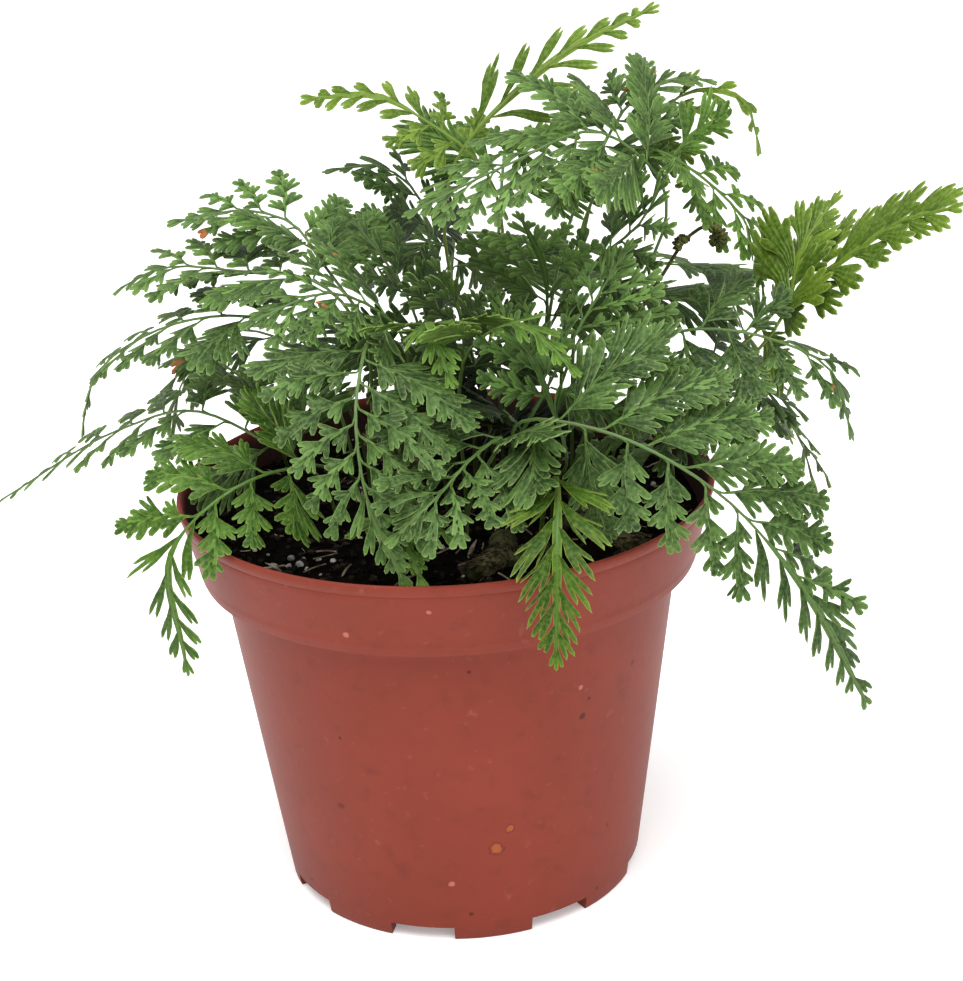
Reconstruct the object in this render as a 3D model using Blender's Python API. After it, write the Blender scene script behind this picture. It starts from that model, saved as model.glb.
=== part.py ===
"""Potted black rabbits foot fern: a round nursery pot filled with soil, creeping
rhizomes, a young coiled frond and the grown fronds, each one its own solid.

The frame is +Z up, with its origin on the pot's axis at the level that the pot
stands on. The front of the plant looks towards -Y. Driving sizes are in
millimetres and become metres when a mesh is made.
"""

import math
import random
from collections import namedtuple

import bpy
from mathutils import Vector
from mathutils.bvhtree import BVHTree

MM = 0.001
UP = Vector((0.0, 0.0, 1.0))

# Pot, in millimetres
POT_HEIGHT = 85.0
RIM_RADIUS = 54.0
BAND_HEIGHT = 16.0
BAND_FOOT_RADIUS = 50.3
BODY_TOP_RADIUS = 46.3
BASE_RADIUS = 36.8
WALL = 1.1
FLOOR_HEIGHT = 3.2
FLOOR_THICKNESS = 1.3
FOOT_WIDTH = 3.3
POT_SIDES = 48
FOOT_COUNT = 8
NOTCH_WIDTH_DEG = 20.5
NOTCH_FIRST_DEG = -14.0
DRAIN_RADIUS = 3.0
DRAIN_DISTANCE = 24.0
DRAIN_SIDES = 8

# Soil, in millimetres
SOIL_SIDES = 24
SOIL_EDGE_HEIGHT = 77.5
SOIL_MIDDLE_HEIGHT = 79.5
SOIL_BUMP = 0.7
SEAT_GAP = 0.3
STEM_DEPTH = 6.0
COLLAR_RISE = 3.5
STEM_HOLE_HALF = 1.4
STEM_HOLE_SPARE = 0.6

# Fronds, in millimetres and degrees
STIPE_HALF_WIDTH = 0.75
RACHIS_HALF_WIDTH = 0.6
RACHIS_HALF_THICKNESS = 0.5
TIP_HALF_WIDTH = 0.35
BLADE_HALF_THICKNESS = 0.35
STIPE_STEP = 13.0
BARE_STEPS = 10
LEAFLET_PITCH = 6.9
BASE_ANGLE = 78.0
TIP_ANGLE = 38.0
ANGLE_FALL = 1.6
LEAFLET_ANGLE = 46.0
LEAFLET_REACH = 0.58
BRANCH_BREADTH = 0.30
LONG_LEAFLET = 6.5
BARE_SHARE = 0.16
NODE_LENGTH = 1.3
FIRST_NODE = 0.02
NODE_STAGGER = 0.42
BRANCH_SAG = 0.10
CLEARANCE = 0.45
OWN_CLEARANCE = 0.08
TILT_CHOICES = (0, 9, -9, 18, -18, 28, -28, 40, -40)
LENGTH_CHOICES = (1.0, 0.85, 0.7, 0.5, 0.35)

Frond = namedtuple("Frond", "name base path spread pairs roll look lean right simple breadth taper",
                   defaults=(0, 1.0, 6.5, 0.17, 0.85))
Pinna = namedtuple("Pinna", "side near far length angle reach lower tilt sag")
Section = namedtuple("Section", "share place along across normal")

# Each frond: where its stem leaves the soil, the route of its midrib from the
# lowest leaflets to the tip, how far the lowest side branches reach, how many
# pairs it has, the roll of its blade at both ends and the look of its leaf. The
# last five, where given, sweep the left branches forwards by an angle, scale the
# right ones, say up to which length a branch is one undivided leaflet and how wide
# such a leaflet is, as half its width by its length, and say how fast the branches
# shorten towards the tip.
FRONDS = (
    Frond("frond_front_left", (-14, -6), ((-13, -26, 122), (-15, -40, 113), (-13, -48, 98), (-8, -51, 86)),
          22, 10, (0, 0), "mature", 0, 0.8),
    Frond("frond_front_right", (15, -12),
          ((17, -34, 109), (32, -42, 108), (50, -48, 98), (63, -48, 82), (78, -42, 52)),
          24, 13, (-48, -58), "mature", 14, 0.7, 11, 0.24, 0.65),
    Frond("frond_middle_up", (11, -6), ((20, -22, 110), (27, -18, 121), (36, -14, 134)),
          26, 8, (-30, -26), "mature"),
    Frond("frond_front_inner", (4, -18), ((11, -32, 105), (5, -41, 104), (0, -48, 101), (-8, -52, 95)),
          22, 7, (14, 10), "mature"),
    Frond("frond_front_middle", (18, -28), ((21, -44, 101), (20, -58, 94), (19, -64, 76)),
          14, 7, (0, 0), "young", 0, 1.0, 15, 0.22, 0.5),
    Frond("frond_front_low", (-7, -30), ((-7, -38, 93), (-7, -45, 91), (-5, -50, 86)),
          8, 4, (0, 0), "fresh"),
    Frond("frond_left_front", (-22, -10), ((-26, -18, 95), (-39, -28, 96), (-51, -34, 87), (-51, -34, 63)),
          13, 8, (28, 34), "fresh", 0, 1.3, 10, 0.19, 0.5),
    Frond("frond_left_long", (-18, 4), ((-28, -8, 93), (-49, 2, 101), (-66, 13, 94), (-95, 25, 75)),
          15, 9, (24, 14), "mature", 0, 1.3, 6.5, 0.17, 0.75),
    Frond("frond_left_inner", (-9, 4), ((-9, -7, 121), (-20, -14, 129), (-34, -20, 126)),
          21, 7, (26, 18), "mature"),
    Frond("frond_inner_left", (-3, 11), ((-3, 3, 113), (-6, 4, 123), (-11, 6, 131), (-16, 9, 137)),
          16, 5, (16, 10), "dark"),
    Frond("frond_left_middle", (-16, 12), ((-33, 8, 117), (-58, 14, 114), (-71, 16, 104), (-74, 14, 95)),
          17, 7, (16, 0), "mature"),
    Frond("frond_left_upper", (-10, 16), ((-24, 20, 121), (-41, 28, 122), (-58, 32, 122), (-66, 34, 118)),
          20, 7, (24, 16), "mature"),
    Frond("frond_left_top", (-4, 24), ((-24, 30, 123), (-30, 38, 129), (-39, 42, 131), (-54, 44, 129)),
          18, 7, (32, 26), "mature"),
    Frond("frond_back_left", (2, 22), ((-1, 26, 126), (-3, 29, 136), (-10, 30, 142), (-19, 30, 142)),
          15, 5, (14, 10), "dark"),
    Frond("frond_top_light", (6, 16), ((8, 18, 147), (0, 20, 153), (-9, 22, 158), (-23, 24, 158)),
          8, 7, (34, 44), "light", 0, 1.0, 6.5, 0.17, 0.6),
    Frond("frond_top_young", (10, 14), ((8, 12, 151), (17, 14, 159), (27, 16, 166), (44, 20, 173)),
          14, 7, (-58, -50), "light", 26, 1.0, 20, 0.08),
    Frond("frond_top_middle", (19, 4), ((43, 2, 146), (33, 0, 154), (15, -6, 150), (-3, -10, 143)),
          26, 9, (24, 16), "mature"),
    Frond("frond_right_top", (20, 16), ((34, 18, 146), (41, 22, 155), (51, 26, 158), (56, 28, 157)),
          13, 6, (-24, -16), "mature"),
    Frond("frond_right_curly", (24, 19), ((42, 24, 148), (54, 28, 155), (64, 30, 152), (67, 30, 143)),
          9, 5, (-44, -40), "light"),
    Frond("frond_right_arch", (26, 11), ((44, 10, 148), (53, 10, 142), (62, 8, 132), (65, 6, 118)),
          14, 7, (-30, -10), "fresh"),
    Frond("frond_right_far", (30, -1),
          ((63, 2, 112), (68, -4, 120), (78, -14, 131), (87, -22, 140), (94, -30, 144)),
          15, 8, (-56, -50), "light", -8, 0.75, 11, 0.24, 0.35),
    Frond("frond_right_bright", (37, -6), ((68, -8, 121), (71, -5, 131), (77, -1, 138)),
          18, 5, (-10, 0), "light", 0, 0.7, 20, 0.2),
    Frond("frond_right_middle", (25, -4), ((46, -8, 116), (64, -12, 115), (75, -14, 109), (79, -14, 97)),
          17, 6, (-26, -20), "mature"),
    Frond("frond_right_under", (34, 9), ((52, 9, 107), (63, 11, 99), (73, 13, 91)),
          17, 5, (-24, -20), "dark"),
    Frond("frond_middle_right", (13, 8), ((32, 0, 129), (40, -4, 137), (45, -6, 147)),
          17, 5, (-40, -30), "mature"),
    Frond("frond_centre", (6, 2), ((21, -6, 117), (21, -12, 131), (17, -20, 143)),
          22, 6, (0, 0), "dark"),
    Frond("frond_inner_dark", (21, -10), ((23, -29, 102), (21, -28, 109), (18, -25, 117), (13, -20, 123)),
          20, 5, (0, 0), "dark"),
    Frond("frond_inner_back", (7, 9), ((11, 10, 92), (12, 12, 99), (10, 14, 107), (7, 16, 115)),
          21, 5, (0, 0), "dark"),
    Frond("frond_inner_high", (1, 4), ((4, 2, 104), (5, 0, 113), (4, -3, 122), (1, -6, 130)),
          20, 5, (0, 0), "mature"),
    Frond("frond_inner_right", (45, -11), ((44, -14, 94), (42, -18, 100), (43, -24, 102), (47, -30, 99)),
          18, 5, (-10, -10), "dark"),
    Frond("frond_inner_front", (-9, -15), ((-10, -15, 96), (-9, -15, 102), (-6, -16, 108), (0, -17, 112)),
          19, 6, (-10, -10), "dark"),
    Frond("frond_inner_middle", (18, -3), ((17, -5, 92), (15, -6, 97), (11, -7, 101), (5, -8, 103)),
          16, 5, (0, 0), "dark"),
    Frond("frond_inner_far_left", (-32, 9), ((-33, 3, 93), (-34, -1, 100), (-36, -5, 107), (-40, -7, 112)),
          17, 5, (10, 10), "dark"),
    Frond("frond_centre_light", (4, -10), ((8, -22, 121), (16, -30, 126), (24, -36, 120)),
          12, 5, (-10, 0), "fresh", 0, 1.0, 10, 0.22),
    Frond("frond_centre_left", (0, -3), ((-1, -14, 120), (-1, -24, 125), (2, -32, 118)),
          14, 5, (0, 0), "fresh", 0, 1.0, 10, 0.22),
    Frond("frond_back_middle", (2, 30), ((3, 40, 116), (4, 50, 122), (2, 59, 110), (0, 62, 92)),
          24, 5, (0, 0), "mature"),
    Frond("frond_back_right", (22, 24), ((36, 30, 112), (50, 40, 116), (62, 48, 106), (69, 52, 88)),
          23, 5, (0, 0), "mature"),
    Frond("frond_back_lower_left", (-20, 24), ((-30, 34, 102), (-44, 44, 104), (-57, 50, 92), (-62, 53, 74)),
          21, 5, (0, 0), "mature"),
    Frond("frond_back_high", (12, 24), ((14, 32, 134), (16, 42, 144), (18, 53, 142), (20, 60, 132)),
          19, 5, (0, 0), "fresh"),
    Frond("frond_back_lower_right", (32, 12), ((46, 16, 96), (60, 22, 96), (74, 26, 82), (80, 28, 62)),
          19, 5, (0, 0), "mature"),
    Frond("frond_back_low", (-8, 34), ((-10, 45, 94), (-14, 54, 96), (-17, 60, 86), (-18, 62, 70)),
          15, 5, (0, 0), "fresh"),
)

# Each rhizome: its route over the soil, its radius at the thick end and at the tip
RHIZOMES = {
    "rhizome_front": (((11, -21), (10, -30), (4, -39)), 3.0, 1.8),
    "rhizome_right": (((24, -12), (33, -22), (38, -28)), 3.4, 2.2),
    "rhizome_back": (((-4, 14), (-14, 30), (-16, 42)), 3.2, 2.0),
}
RHIZOME_SIDES = 6
RHIZOME_STEPS = 7
RHIZOME_RISE = 1.2

# The coiled young frond: stem route, then the coil that it ends in
CROZIER_STEM = ((28, 14, 73), (30, 13, 88), (37, 10, 108), (45, 5, 124), (51, 2, 133))
CROZIER_RADIUS = 0.8
CROZIER_COIL_RADIUS = 3.4
CROZIER_TURNS = 1.3
CROZIER_SIDES = 4
CROZIER_STEPS = 20
CROZIER_COIL_POINTS = 12

LEAF_COLOURS = {
    "mature": (0.055, 0.13, 0.045, 1.0),
    "dark": (0.03, 0.085, 0.035, 1.0),
    "fresh": (0.09, 0.22, 0.03, 1.0),
    "young": (0.08, 0.20, 0.03, 1.0),
    "light": (0.20, 0.32, 0.05, 1.0),
}
POT_COLOUR = (0.33, 0.075, 0.045, 1.0)
SOIL_COLOUR = (0.012, 0.010, 0.009, 1.0)
RHIZOME_COLOUR = (0.10, 0.075, 0.035, 1.0)
CROZIER_COLOUR = (0.12, 0.11, 0.03, 1.0)


class Rib:
    """A smooth line through given points, read by its share of the length."""

    STEPS = 12

    def __init__(self, points):
        knots = [Vector(p) for p in points]
        spans = [(b - a).length for a, b in zip(knots, knots[1:])]
        runs = [(b - a) / span for a, b, span in zip(knots, knots[1:], spans)]
        leans = [runs[0]]
        for before, after, run, next_run in zip(spans, spans[1:], runs, runs[1:]):
            leans.append((run * after + next_run * before) / (before + after))
        leans.append(runs[-1])
        self.points = []
        for index, span in enumerate(spans):
            ends = knots[index], knots[index + 1], leans[index] * span, leans[index + 1] * span
            for step in range(self.STEPS):
                self.points.append(self.blend(*ends, step / self.STEPS))
        self.points.append(knots[-1])
        self.marks = [0.0]
        for start, end in zip(self.points, self.points[1:]):
            self.marks.append(self.marks[-1] + (end - start).length)
        self.length = self.marks[-1]

    @staticmethod
    def blend(start, end, lean_out, lean_in, t):
        return (start * (2 * t ** 3 - 3 * t ** 2 + 1) + lean_out * (t ** 3 - 2 * t ** 2 + t)
                + end * (3 * t ** 2 - 2 * t ** 3) + lean_in * (t ** 3 - t ** 2))

    def at(self, share):
        """The point at a share of the length, and the direction there."""
        mark = min(max(share, 0.0), 1.0) * self.length
        index = 0
        while index < len(self.marks) - 2 and self.marks[index + 1] < mark:
            index += 1
        start, end = self.points[index], self.points[index + 1]
        part = (mark - self.marks[index]) / (self.marks[index + 1] - self.marks[index])
        before = self.points[max(index - 1, 0)]
        after = self.points[min(index + 2, len(self.points) - 1)]
        return start.lerp(end, part), (after - before).normalized()


class Sheet:
    """Triangles on a leaf's middle surface, closed into a thin solid."""

    def __init__(self, extra=0.0):
        self.points = []
        self.offsets = []
        self.faces = []
        self.extra = extra

    def point(self, place, normal, half):
        self.points.append(place)
        self.offsets.append(normal * (half + self.extra))
        return len(self.points) - 1

    def face(self, a, b, c):
        if a != b and b != c and a != c:
            self.faces.append((a, b, c))

    def strip(self, left, right):
        """Fills between two edges, each a list of (share, point) towards the tip."""
        i, j = 0, 0
        while i < len(left) - 1 or j < len(right) - 1:
            take_left = j == len(right) - 1
            if i < len(left) - 1 and j < len(right) - 1:
                take_left = left[i + 1][0] <= right[j + 1][0]
            if take_left:
                self.face(left[i][1], right[j][1], left[i + 1][1])
                i += 1
            else:
                self.face(left[i][1], right[j][1], right[j + 1][1])
                j += 1

    def solid(self):
        """The closed mesh: upper face, lower face and the edge between them."""
        count = len(self.points)
        verts = [p + o for p, o in zip(self.points, self.offsets)]
        verts += [p - o for p, o in zip(self.points, self.offsets)]
        edges = {(f[k], f[(k + 1) % 3]) for f in self.faces for k in range(3)}
        faces = list(self.faces)
        faces += [(a + count, c + count, b + count) for a, b, c in self.faces]
        for a, b in sorted(edges):
            if (b, a) not in edges:
                faces.append((b, a, a + count))
                faces.append((b, a + count, b + count))
        return verts, faces


def mix(a, b, share):
    return a + (b - a) * share


def frond_rib(frond):
    """The frond's whole line, and the share of it at which the leaflets start."""
    x, y = frond.base
    foot = (x, y, SOIL_EDGE_HEIGHT - STEM_DEPTH)
    collar = (x, y, SOIL_MIDDLE_HEIGHT + COLLAR_RISE)
    rib = Rib((foot, collar) + frond.path)
    return rib, rib.marks[2 * Rib.STEPS] / rib.length


def frond_frame(frond, rib, start, share):
    """Place, direction, right-hand side and upper side of the midrib."""
    place, along = rib.at(share)
    reach = Vector(frond.path[-1]) - Vector(frond.path[0])
    side = Vector((reach.y, -reach.x, 0.0)).normalized()
    side = (side - along * side.dot(along)).normalized()
    upper = side.cross(along)
    grown = max(0.0, (share - start) / (1.0 - start))
    roll = math.radians(mix(frond.roll[0], frond.roll[1], grown) * min(1.0, share / start))
    turned = side * math.cos(roll) + upper * math.sin(roll)
    return place, along, turned, turned.cross(along)


def frond_pinnae(frond, rib, start):
    """The side branches by rule: long and wide apart below, short and close at the tip."""
    draw = random.Random(frond.name)
    blade = rib.length * (1.0 - start)
    pinnae = []
    for pair in range(frond.pairs):
        here = 1.0 - (1.0 - pair / frond.pairs) ** 1.3
        after = 1.0 - (1.0 - (pair + 1) / frond.pairs) ** 1.3
        gap = (after - here) * 0.94
        for side in (1, -1):
            grown = FIRST_NODE + here * 0.94 + (0.0 if side > 0 else NODE_STAGGER * gap)
            length = frond.spread * (1.0 - grown) ** frond.taper * draw.uniform(0.9, 1.06)
            length *= frond.right if side > 0 else 1.0
            near = start + (1.0 - start) * grown
            far = near + NODE_LENGTH / rib.length
            angle = mix(TIP_ANGLE, BASE_ANGLE, (1.0 - grown) ** ANGLE_FALL) + draw.uniform(-4, 4)
            angle -= frond.lean if side < 0 else 0.0
            reach = min(LEAFLET_REACH * gap * blade, BRANCH_BREADTH * length) * mix(1.1, 0.65, grown)
            lower = 1.5 if pair == 0 else 1.0
            tilt = draw.uniform(-5, 5)
            pinnae.append(Pinna(side, near, far, length, angle, reach, lower, tilt, BRANCH_SAG))
    return pinnae


def pinna_line(frond, rib, start, pinna):
    """The branch's own rib and the upper side of its blade."""
    place, along, side, upper = frond_frame(frond, rib, start, (pinna.near + pinna.far) / 2)
    angle, tilt = math.radians(pinna.angle), math.radians(pinna.tilt)
    out = side * pinna.side * math.cos(tilt) + upper * math.sin(tilt)
    heading = along * math.cos(angle) + out * math.sin(angle)
    root = place + side * pinna.side * RACHIS_HALF_WIDTH
    middle = root + heading * pinna.length * 0.55 - UP * pinna.sag * pinna.length * 0.2
    end = root + heading * pinna.length + along * pinna.length * 0.12 - UP * pinna.sag * pinna.length
    return Rib((root, middle, end)), along, upper


def rib_section(line, share, forward, upper):
    """A section of a branch: its place, its direction, and the ways across and up."""
    place, along = line.at(share)
    across = (forward - along * forward.dot(along)).normalized()
    normal = upper - along * upper.dot(along)
    normal = (normal - across * normal.dot(across)).normalized()
    return Section(share, place, along, across, normal)


def leaflet_shares(length):
    """Where a branch's leaflets start, as shares of its rib."""
    count = max(1, round(length / LEAFLET_PITCH))
    if count > 2:
        return [0.0] + [mix(BARE_SHARE, 1.0, k / count) for k in range(count)]
    return [k / count for k in range(count)]


def add_pinna(sheet, frond, rib, start, pinna, near_point, far_point, grow=0.0):
    """Adds a branch whose leaflets are cut to its rib, from an edge of the midrib."""
    line, forward, upper = pinna_line(frond, rib, start, pinna)
    shares = leaflet_shares(pinna.length)
    sections = [rib_section(line, share, forward, upper) for share in shares]
    front, rear = [(0.0, far_point)], [(0.0, near_point)]
    for section in sections[1:]:
        offset = section.across * (mix(RACHIS_HALF_WIDTH, TIP_HALF_WIDTH, section.share) + grow)
        for edge, place in ((front, section.place + offset), (rear, section.place - offset)):
            edge.append((section.share, sheet.point(place, section.normal, BLADE_HALF_THICKNESS)))
    last, last_along = line.at(1.0)
    tip = sheet.point(last + last_along * grow, sections[-1].normal, BLADE_HALF_THICKNESS)
    front.append((1.0, tip))
    rear.append((1.0, tip))
    if pinna.side > 0:
        sheet.strip(front, rear)
    else:
        sheet.strip(rear, front)
    first = 1 if len(shares) > 2 else 0
    for index in range(first, len(shares)):
        for sign, edge, scale in ((1, front, 1.0), (-1, rear, pinna.lower)):
            length = pinna.reach * scale * fullness(shares[index]) + grow
            point = cut_leaflet(sheet, line, sections[index], (shares + [1.0])[index + 1], sign, length)
            a, b = edge[index][1], edge[index + 1][1]
            if sign == pinna.side:
                sheet.face(a, b, point)
            else:
                sheet.face(b, a, point)


def fullness(share):
    """How much of its full reach a branch's outline has at a share of its length."""
    return (1.0 - share ** 2.2) ** 0.5


def cut_leaflet(sheet, line, section, next_share, sign, length):
    """The tip of one pointed leaflet that stands on a branch's edge."""
    lean = math.radians(LEAFLET_ANGLE)
    heading = section.along * math.cos(lean) + section.across * sign * math.sin(lean)
    middle = line.at((section.share + next_share) / 2)[0]
    return sheet.point(middle + heading * length / math.sin(lean), section.normal, BLADE_HALF_THICKNESS)


def add_leaflet(sheet, frond, rib, start, pinna, near_point, far_point):
    """Adds an undivided leaflet that sits straight on the midrib."""
    line, forward, upper = pinna_line(frond, rib, start, pinna)
    front, rear = [(0.0, far_point)], [(0.0, near_point)]
    if pinna.length > LONG_LEAFLET:
        middle = rib_section(line, 0.5, forward, upper)
        for edge, sign in ((front, 1), (rear, -1)):
            place = middle.place + middle.across * sign * frond.breadth * pinna.length
            edge.append((0.5, sheet.point(place, middle.normal, BLADE_HALF_THICKNESS)))
    _, _, _, normal = frond_frame(frond, rib, start, pinna.near)
    tip = sheet.point(line.at(1.0)[0], normal, BLADE_HALF_THICKNESS)
    front.append((1.0, tip))
    rear.append((1.0, tip))
    if pinna.side > 0:
        sheet.strip(front, rear)
    else:
        sheet.strip(rear, front)


def frond_stations(rib, start, pinnae, side):
    """The shares of the whole line at which one edge of the stem and midrib has points."""
    steps = max(3, round(rib.length * start / STIPE_STEP))
    shares = [start * k / steps for k in range(steps)]
    if not pinnae:
        shares += [mix(start, 1.0, k / BARE_STEPS) for k in range(BARE_STEPS)]
    elif side < 0:
        shares.append(start)
    for pinna in pinnae:
        if pinna.side == side:
            shares += [pinna.near, pinna.far]
    return shares


def stem_halves(start, share):
    """Half the width and half the thickness of the stem or midrib."""
    if share < start:
        width = mix(STIPE_HALF_WIDTH, RACHIS_HALF_WIDTH, share / start)
        return width, mix(STIPE_HALF_WIDTH, RACHIS_HALF_THICKNESS, share / start)
    grown = (share - start) / (1.0 - start)
    width = mix(RACHIS_HALF_WIDTH, TIP_HALF_WIDTH, grown)
    return width, mix(RACHIS_HALF_THICKNESS, BLADE_HALF_THICKNESS, grown)


def frond_sheet(frond, pinnae, extra=0.0):
    """The whole frond in one closed skin."""
    rib, start = frond_rib(frond)
    sheet = Sheet(extra)
    edges = {}
    for side in (1, -1):
        edges[side] = []
        for share in frond_stations(rib, start, pinnae, side):
            place, _, across, upper = frond_frame(frond, rib, start, share)
            width, thickness = stem_halves(start, share)
            edges[side].append((share, sheet.point(place + across * side * width, upper, thickness)))
    place, _, _, upper = frond_frame(frond, rib, start, 1.0)
    tip = sheet.point(place, upper, BLADE_HALF_THICKNESS)
    for side in (1, -1):
        edges[side].append((1.0, tip))
    sheet.strip(edges[-1], edges[1])
    lookup = {side: dict(edges[side]) for side in (1, -1)}
    for pinna in pinnae:
        near_point = lookup[pinna.side][pinna.near]
        far_point = lookup[pinna.side][pinna.far]
        if pinna.length > frond.simple:
            add_pinna(sheet, frond, rib, start, pinna, near_point, far_point)
        else:
            add_leaflet(sheet, frond, rib, start, pinna, near_point, far_point)
    return sheet


def tree_of(verts, faces):
    return BVHTree.FromPolygons([tuple(v) for v in verts], faces)


def pinna_probe(frond, rib, start, pinna, spare):
    """A thicker, slightly larger copy of one branch, to test its room."""
    probe = Sheet(spare)
    points = []
    for share in (pinna.near, pinna.far):
        place, _, side, upper = frond_frame(frond, rib, start, share)
        points.append(probe.point(place + side * pinna.side * RACHIS_HALF_WIDTH, upper, BLADE_HALF_THICKNESS))
    if pinna.length > frond.simple:
        add_pinna(probe, frond, rib, start, pinna, points[0], points[1], spare)
    else:
        add_leaflet(probe, frond, rib, start, pinna, points[0], points[1])
    return tree_of(*probe.solid())


def bent_clear(frond, pinnae, taken):
    """Tilts or shortens each branch until it is clear of everything that stands already."""
    rib, start = frond_rib(frond)
    kept = []
    own = [stem_tree(frond)]
    for pinna in pinnae:
        choices = [(size, tilt) for size in LENGTH_CHOICES for tilt in TILT_CHOICES]
        for size, tilt in choices:
            tried = pinna._replace(length=pinna.length * size, tilt=pinna.tilt + tilt)
            slim = pinna_probe(frond, rib, start, tried, OWN_CLEARANCE)
            if any(slim.overlap(tree) for tree in own):
                continue
            wide = pinna_probe(frond, rib, start, tried, CLEARANCE)
            if not any(wide.overlap(tree) for tree in taken):
                kept.append(tried)
                own.append(slim)
                break
    return kept


def stem_tree(frond):
    """The frond's bare stem, up to just below its lowest leaflets."""
    rib, start = frond_rib(frond)
    stem = Sheet()
    edges = {1: [], -1: []}
    for step in range(8):
        share = start * 0.95 * step / 7
        place, _, across, upper = frond_frame(frond, rib, start, share)
        for side in (1, -1):
            point = stem.point(place + across * side * STIPE_HALF_WIDTH, upper, STIPE_HALF_WIDTH)
            edges[side].append((share, point))
    stem.strip(edges[-1], edges[1])
    return tree_of(*stem.solid())


def plan_fronds():
    """Every frond's branches, each frond bent clear of the ones before it."""
    stems = {f.name: tree_of(*frond_sheet(f, [], CLEARANCE).solid()) for f in FRONDS}
    plans = {}
    taken = [tree_of(*turned_pot()), tree_of(*soil_top()), tree_of(*crozier_mesh())]
    taken += [tree_of(*rhizome_mesh(name)) for name in RHIZOMES]
    for frond in FRONDS:
        del stems[frond.name]
        rib, start = frond_rib(frond)
        pinnae = frond_pinnae(frond, rib, start)
        plans[frond.name] = bent_clear(frond, pinnae, taken + list(stems.values()))
        taken.append(tree_of(*frond_sheet(frond, plans[frond.name]).solid()))
    return plans


def material(name, colour, roughness):
    made = bpy.data.materials.new(name)
    made.use_nodes = True
    shader = made.node_tree.nodes["Principled BSDF"]
    shader.inputs["Base Color"].default_value = colour
    shader.inputs["Roughness"].default_value = roughness
    return made


def add_object(name, verts, faces, finish=None):
    """A named object from millimetre points."""
    mesh = bpy.data.meshes.new(name)
    mesh.from_pydata([tuple(Vector(v) * MM) for v in verts], [], faces)
    mesh.validate()
    made = bpy.data.objects.new(name, mesh)
    bpy.context.scene.collection.objects.link(made)
    if finish:
        mesh.materials.append(finish)
    return made


def turned(profile, sides):
    """A closed solid turned from (radius, height) points, with its ends on the axis."""
    verts, faces, rows = [], [], []
    for radius, height in profile:
        if radius == 0.0:
            rows.append([len(verts)] * sides)
            verts.append((0.0, 0.0, height))
            continue
        rows.append(list(range(len(verts), len(verts) + sides)))
        for k in range(sides):
            angle = 2 * math.pi * k / sides
            verts.append((radius * math.cos(angle), radius * math.sin(angle), height))
    for low, high in zip(rows, rows[1:]):
        for k in range(sides):
            face = [low[k], low[(k + 1) % sides], high[(k + 1) % sides], high[k]]
            faces.append(tuple(dict.fromkeys(face)))
    return verts, faces


def triangles(face):
    """A face with three or four corners as triangles."""
    return [face] if len(face) == 3 else [face[:3], (face[0], face[2], face[3])]


def tube(line, radius_at, sides, steps):
    """A closed round tube along a rib."""
    verts, faces = [], []
    side = None
    for step in range(steps + 1):
        share = step / steps
        place, along = line.at(share)
        if side is None:
            side = along.orthogonal()
        side = (side - along * side.dot(along)).normalized()
        other = along.cross(side)
        for k in range(sides):
            angle = 2 * math.pi * k / sides
            verts.append(place + (side * math.cos(angle) + other * math.sin(angle)) * radius_at(share))
    for step in range(steps):
        for k in range(sides):
            a, b = step * sides + k, step * sides + (k + 1) % sides
            faces.append((a, b, b + sides, a + sides))
    faces.append(tuple(reversed(range(sides))))
    faces.append(tuple(range(steps * sides, (steps + 1) * sides)))
    return verts, faces


def cut(target, cutter):
    """Cuts one object out of another, and hides the cutter."""
    cutter.hide_render = True
    cutter.display_type = "WIRE"
    modifier = target.modifiers.new("cut_" + cutter.name, "BOOLEAN")
    modifier.operation = "DIFFERENCE"
    modifier.solver = "EXACT"
    modifier.object = cutter


def boxes(places, half_sizes):
    """Upright boxes, given as (x, y, turn) places, in one mesh."""
    verts, faces = [], []
    across, deep, low, high = half_sizes
    for x, y, turn in places:
        first = len(verts)
        for height in (low, high):
            for u, v in ((-across, -deep), (across, -deep), (across, deep), (-across, deep)):
                verts.append((x + u * math.cos(turn) - v * math.sin(turn),
                              y + u * math.sin(turn) + v * math.cos(turn), height))
        faces.append(tuple(first + k for k in (3, 2, 1, 0)))
        faces.append(tuple(first + k for k in (4, 5, 6, 7)))
        for k in range(4):
            faces.append((first + k, first + (k + 1) % 4, first + (k + 1) % 4 + 4, first + k + 4))
    return verts, faces


def notch_angles():
    """The middle of each cut-out in the foot, measured from the front towards +X."""
    return [math.radians(NOTCH_FIRST_DEG + 360.0 * k / FOOT_COUNT) for k in range(FOOT_COUNT)]


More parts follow.
